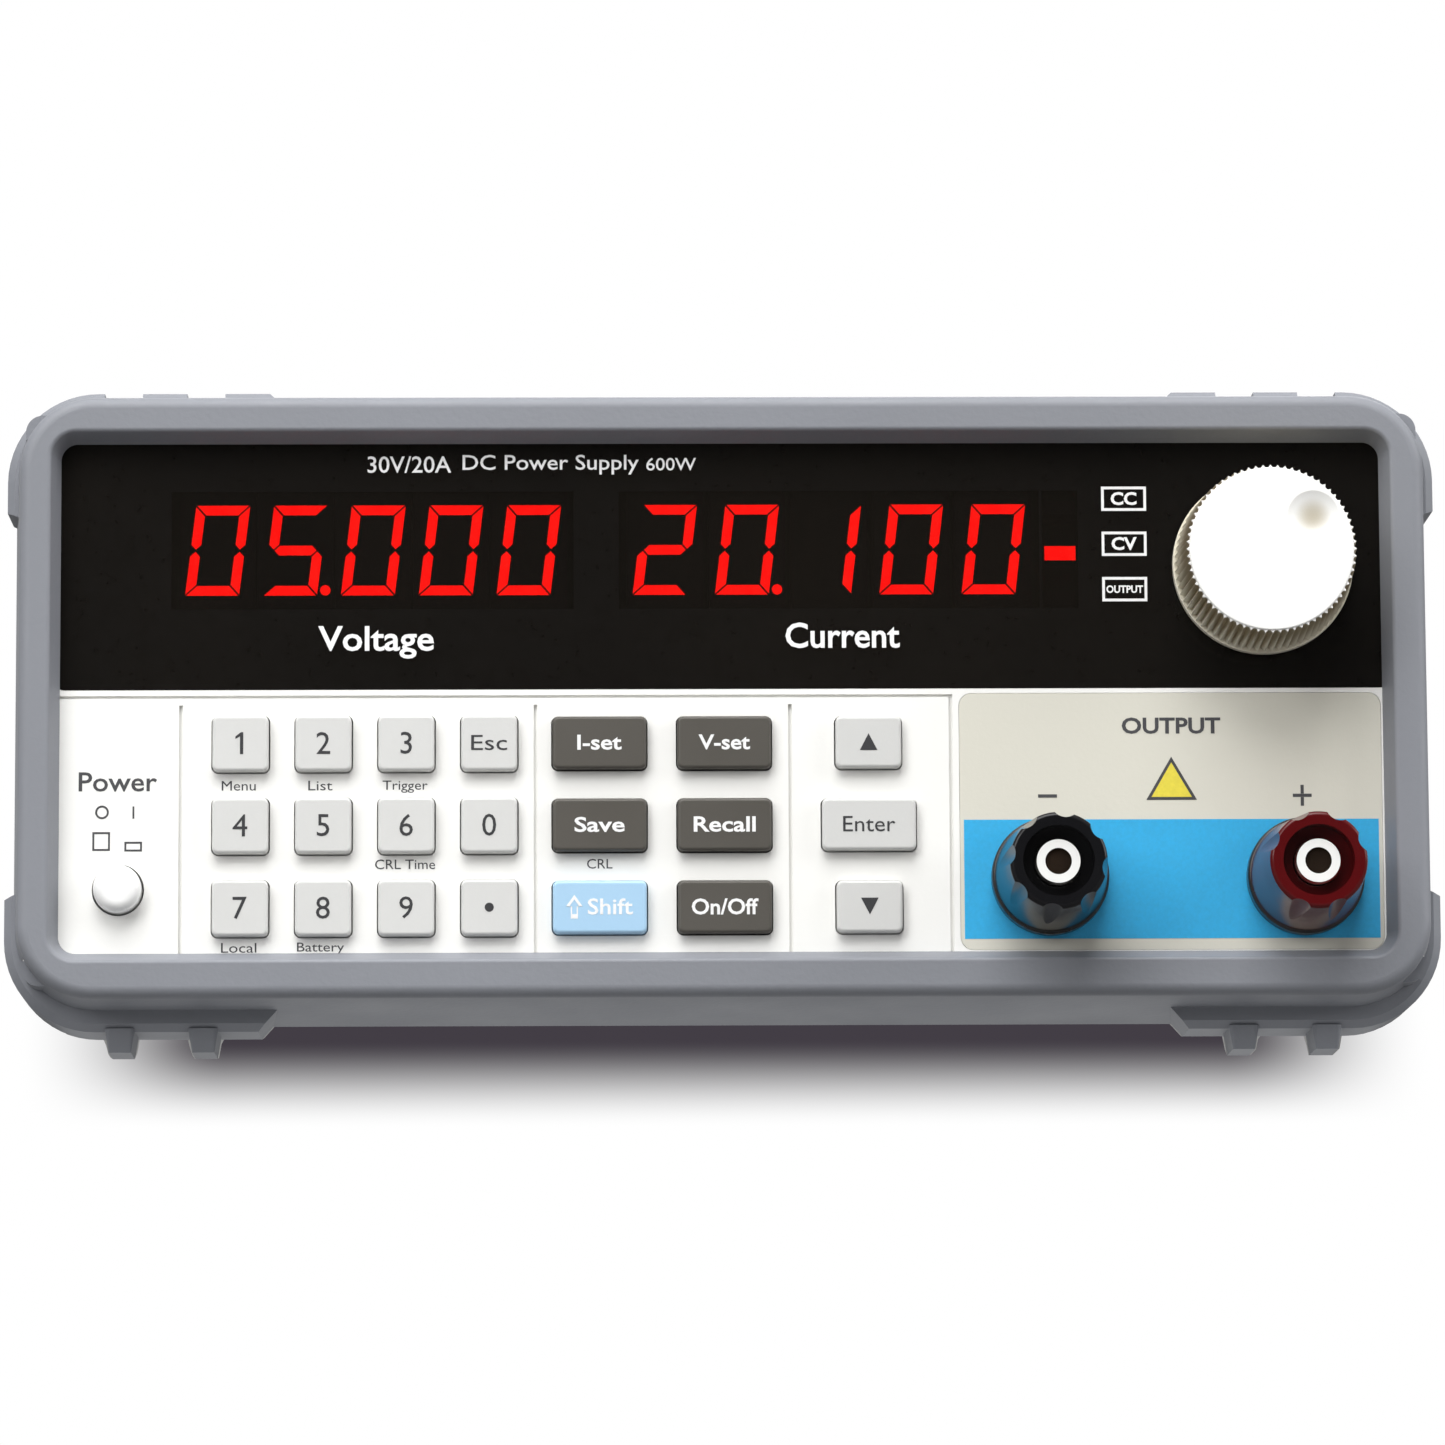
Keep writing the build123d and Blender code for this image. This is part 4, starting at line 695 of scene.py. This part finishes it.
rim_white = moulding("rim_white", (0.84, 0.84, 0.82), (0.80, 0.80, 0.78), 0.35)
well_shade_brown = plated("well_shade_brown", (0.030, 0.020, 0.014), (0.020, 0.014, 0.010), 0.6)
stud_low, stud_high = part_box("post_studs")
stud_z = ((stud_low.z + stud_high.z) / 2 - mid_z) / mm


def tube(x, z, radius, wall, steps=48):
    """A round sleeve over the whole depth, as (points, faces): four circles of points joined in turn.

    A point at angle a is at (x + r cos a, z + r sin a), with r the radius outside and radius - wall inside.
    """
    angle = np.arange(steps) * 2 * math.pi / steps
    circle = np.column_stack([np.cos(angle), np.sin(angle)])
    stations = ((radius, 0.0), (radius, 1.0), (radius - wall, 1.0), (radius - wall, 0.0))
    points = np.vstack([
        np.column_stack([circle * r + (x, z), np.full(steps, depth)]) for r, depth in stations
    ])
    faces = []
    for ring_at in range(4):
        for i in range(steps):
            j, after = (i + 1) % steps, (ring_at + 1) % 4
            faces.append((ring_at * steps + i, ring_at * steps + j, after * steps + j, after * steps + i))
    return points, faces


def post_xs():
    """The middles of the two posts across the panel, from their caps."""
    for node in ("negative_cap", "positive_cap"):
        low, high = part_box(node)
        yield (low.x + high.x) / 2 / mm


rims = [tube(x, stud_z, 3.3, 1.3) for x in post_xs()]
printed("socket_rims", rims, rim_white, "case", stud_low.y, thick=0.12)
# A dark brown lining down each socket's hole: painted shade in the recess.
wells = [tube(x, stud_z, 2.04, 0.12) for x in post_xs()]
wells += [disc(x, stud_z, 2.0, steps=32) for x in post_xs()]
printed("socket_wells", wells, well_shade_brown, "case", stud_low.y + 13.9 * mm, thick=13.5)

# ---------------------------------------------------------------------------------------------------------
# Rear. A fan with its wire guard, a mains inlet with its fuse drawer, a nine-way D connector and a
# terminal block. The inlet, the connector and the block have their names printed on the rear panel.
# ---------------------------------------------------------------------------------------------------------
fan_black = moulding("fan_black", (0.018, 0.018, 0.019), (0.024, 0.024, 0.025), 0.42)
inlet_black = moulding("inlet_black", (0.014, 0.014, 0.015), (0.020, 0.020, 0.021), 0.34)
terminal_green = moulding("terminal_green", (0.03, 0.23, 0.08), (0.025, 0.19, 0.065), 0.4)
guard_plate = plated("guard_plate", (0.78, 0.78, 0.79), (0.68, 0.68, 0.69), 0.2, grain=500.0)
dress(fan_black, "fan_frame", "fan_rotor")
dress(inlet_black, "mains_inlet", "fuse_drawer", "power_switch")
dress(nickel, "inlet_pins")
dress(terminal_green, "sense_terminals")
dress(guard_plate, "fan_guard")
dress(zinc, "serial_port")
fuse_glass, tree, shader, coords = new_finish("fuse_glass")
tree.links.new(clouded(tree, coords, 90.0, 0.06, 0.14), shader.inputs["Roughness"])
shader.inputs["Base Color"].default_value = (0.86, 0.88, 0.86, 1)
shader.inputs["Alpha"].default_value = 0.6
dress(fuse_glass, "fuse")
rear_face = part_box("rear_panel")[1].y
rear_names = [
    words("AC 220V 50Hz 10A", -74.0, -37.0, 2.0), words("RS232", -74.0, 30.5, 2.3),
    words("SENSE", -18.0, 30.0, 2.3), words("- S- S+ +", -18.0, 10.8, 2.2, 18.0),
]
printed("rear_names", rear_names, grey_ink, "case", rear_face, facing_rear=True)

# ---------------------------------------------------------------------------------------------------------
# Inside. The power board with its heat sinks, transformer and capacitors, the front board, and the two
# heavy leads to the posts. They show only through the vents and the fan.
# ---------------------------------------------------------------------------------------------------------
solder_mask = moulding("solder_mask", (0.012, 0.110, 0.045), (0.010, 0.085, 0.035), 0.3, coat=0.4)
sink_metal = plated("sink_aluminium", (0.72, 0.73, 0.74), (0.62, 0.63, 0.64), 0.38)
core_grey = moulding("ferrite_grey", (0.045, 0.045, 0.048), (0.065, 0.065, 0.066), 0.55)
sleeve_blue = moulding("sleeve_blue", (0.012, 0.018, 0.060), (0.016, 0.024, 0.075), 0.3, coat=0.3)
lead_red = moulding("lead_silicone", (0.16, 0.010, 0.008), (0.13, 0.008, 0.006), 0.45)
dress(solder_mask, "main_board", "front_board")
dress(sink_metal, "heat_sinks")
dress(core_grey, "transformer")
dress(sleeve_blue, "capacitors")
dress(lead_red, "output_leads")

for node in ("front_panel", "output_plate", "knob", "power_button", "rear_panel", "top_cover", "base_tray"):
    soften(node, 0.12 * mm)
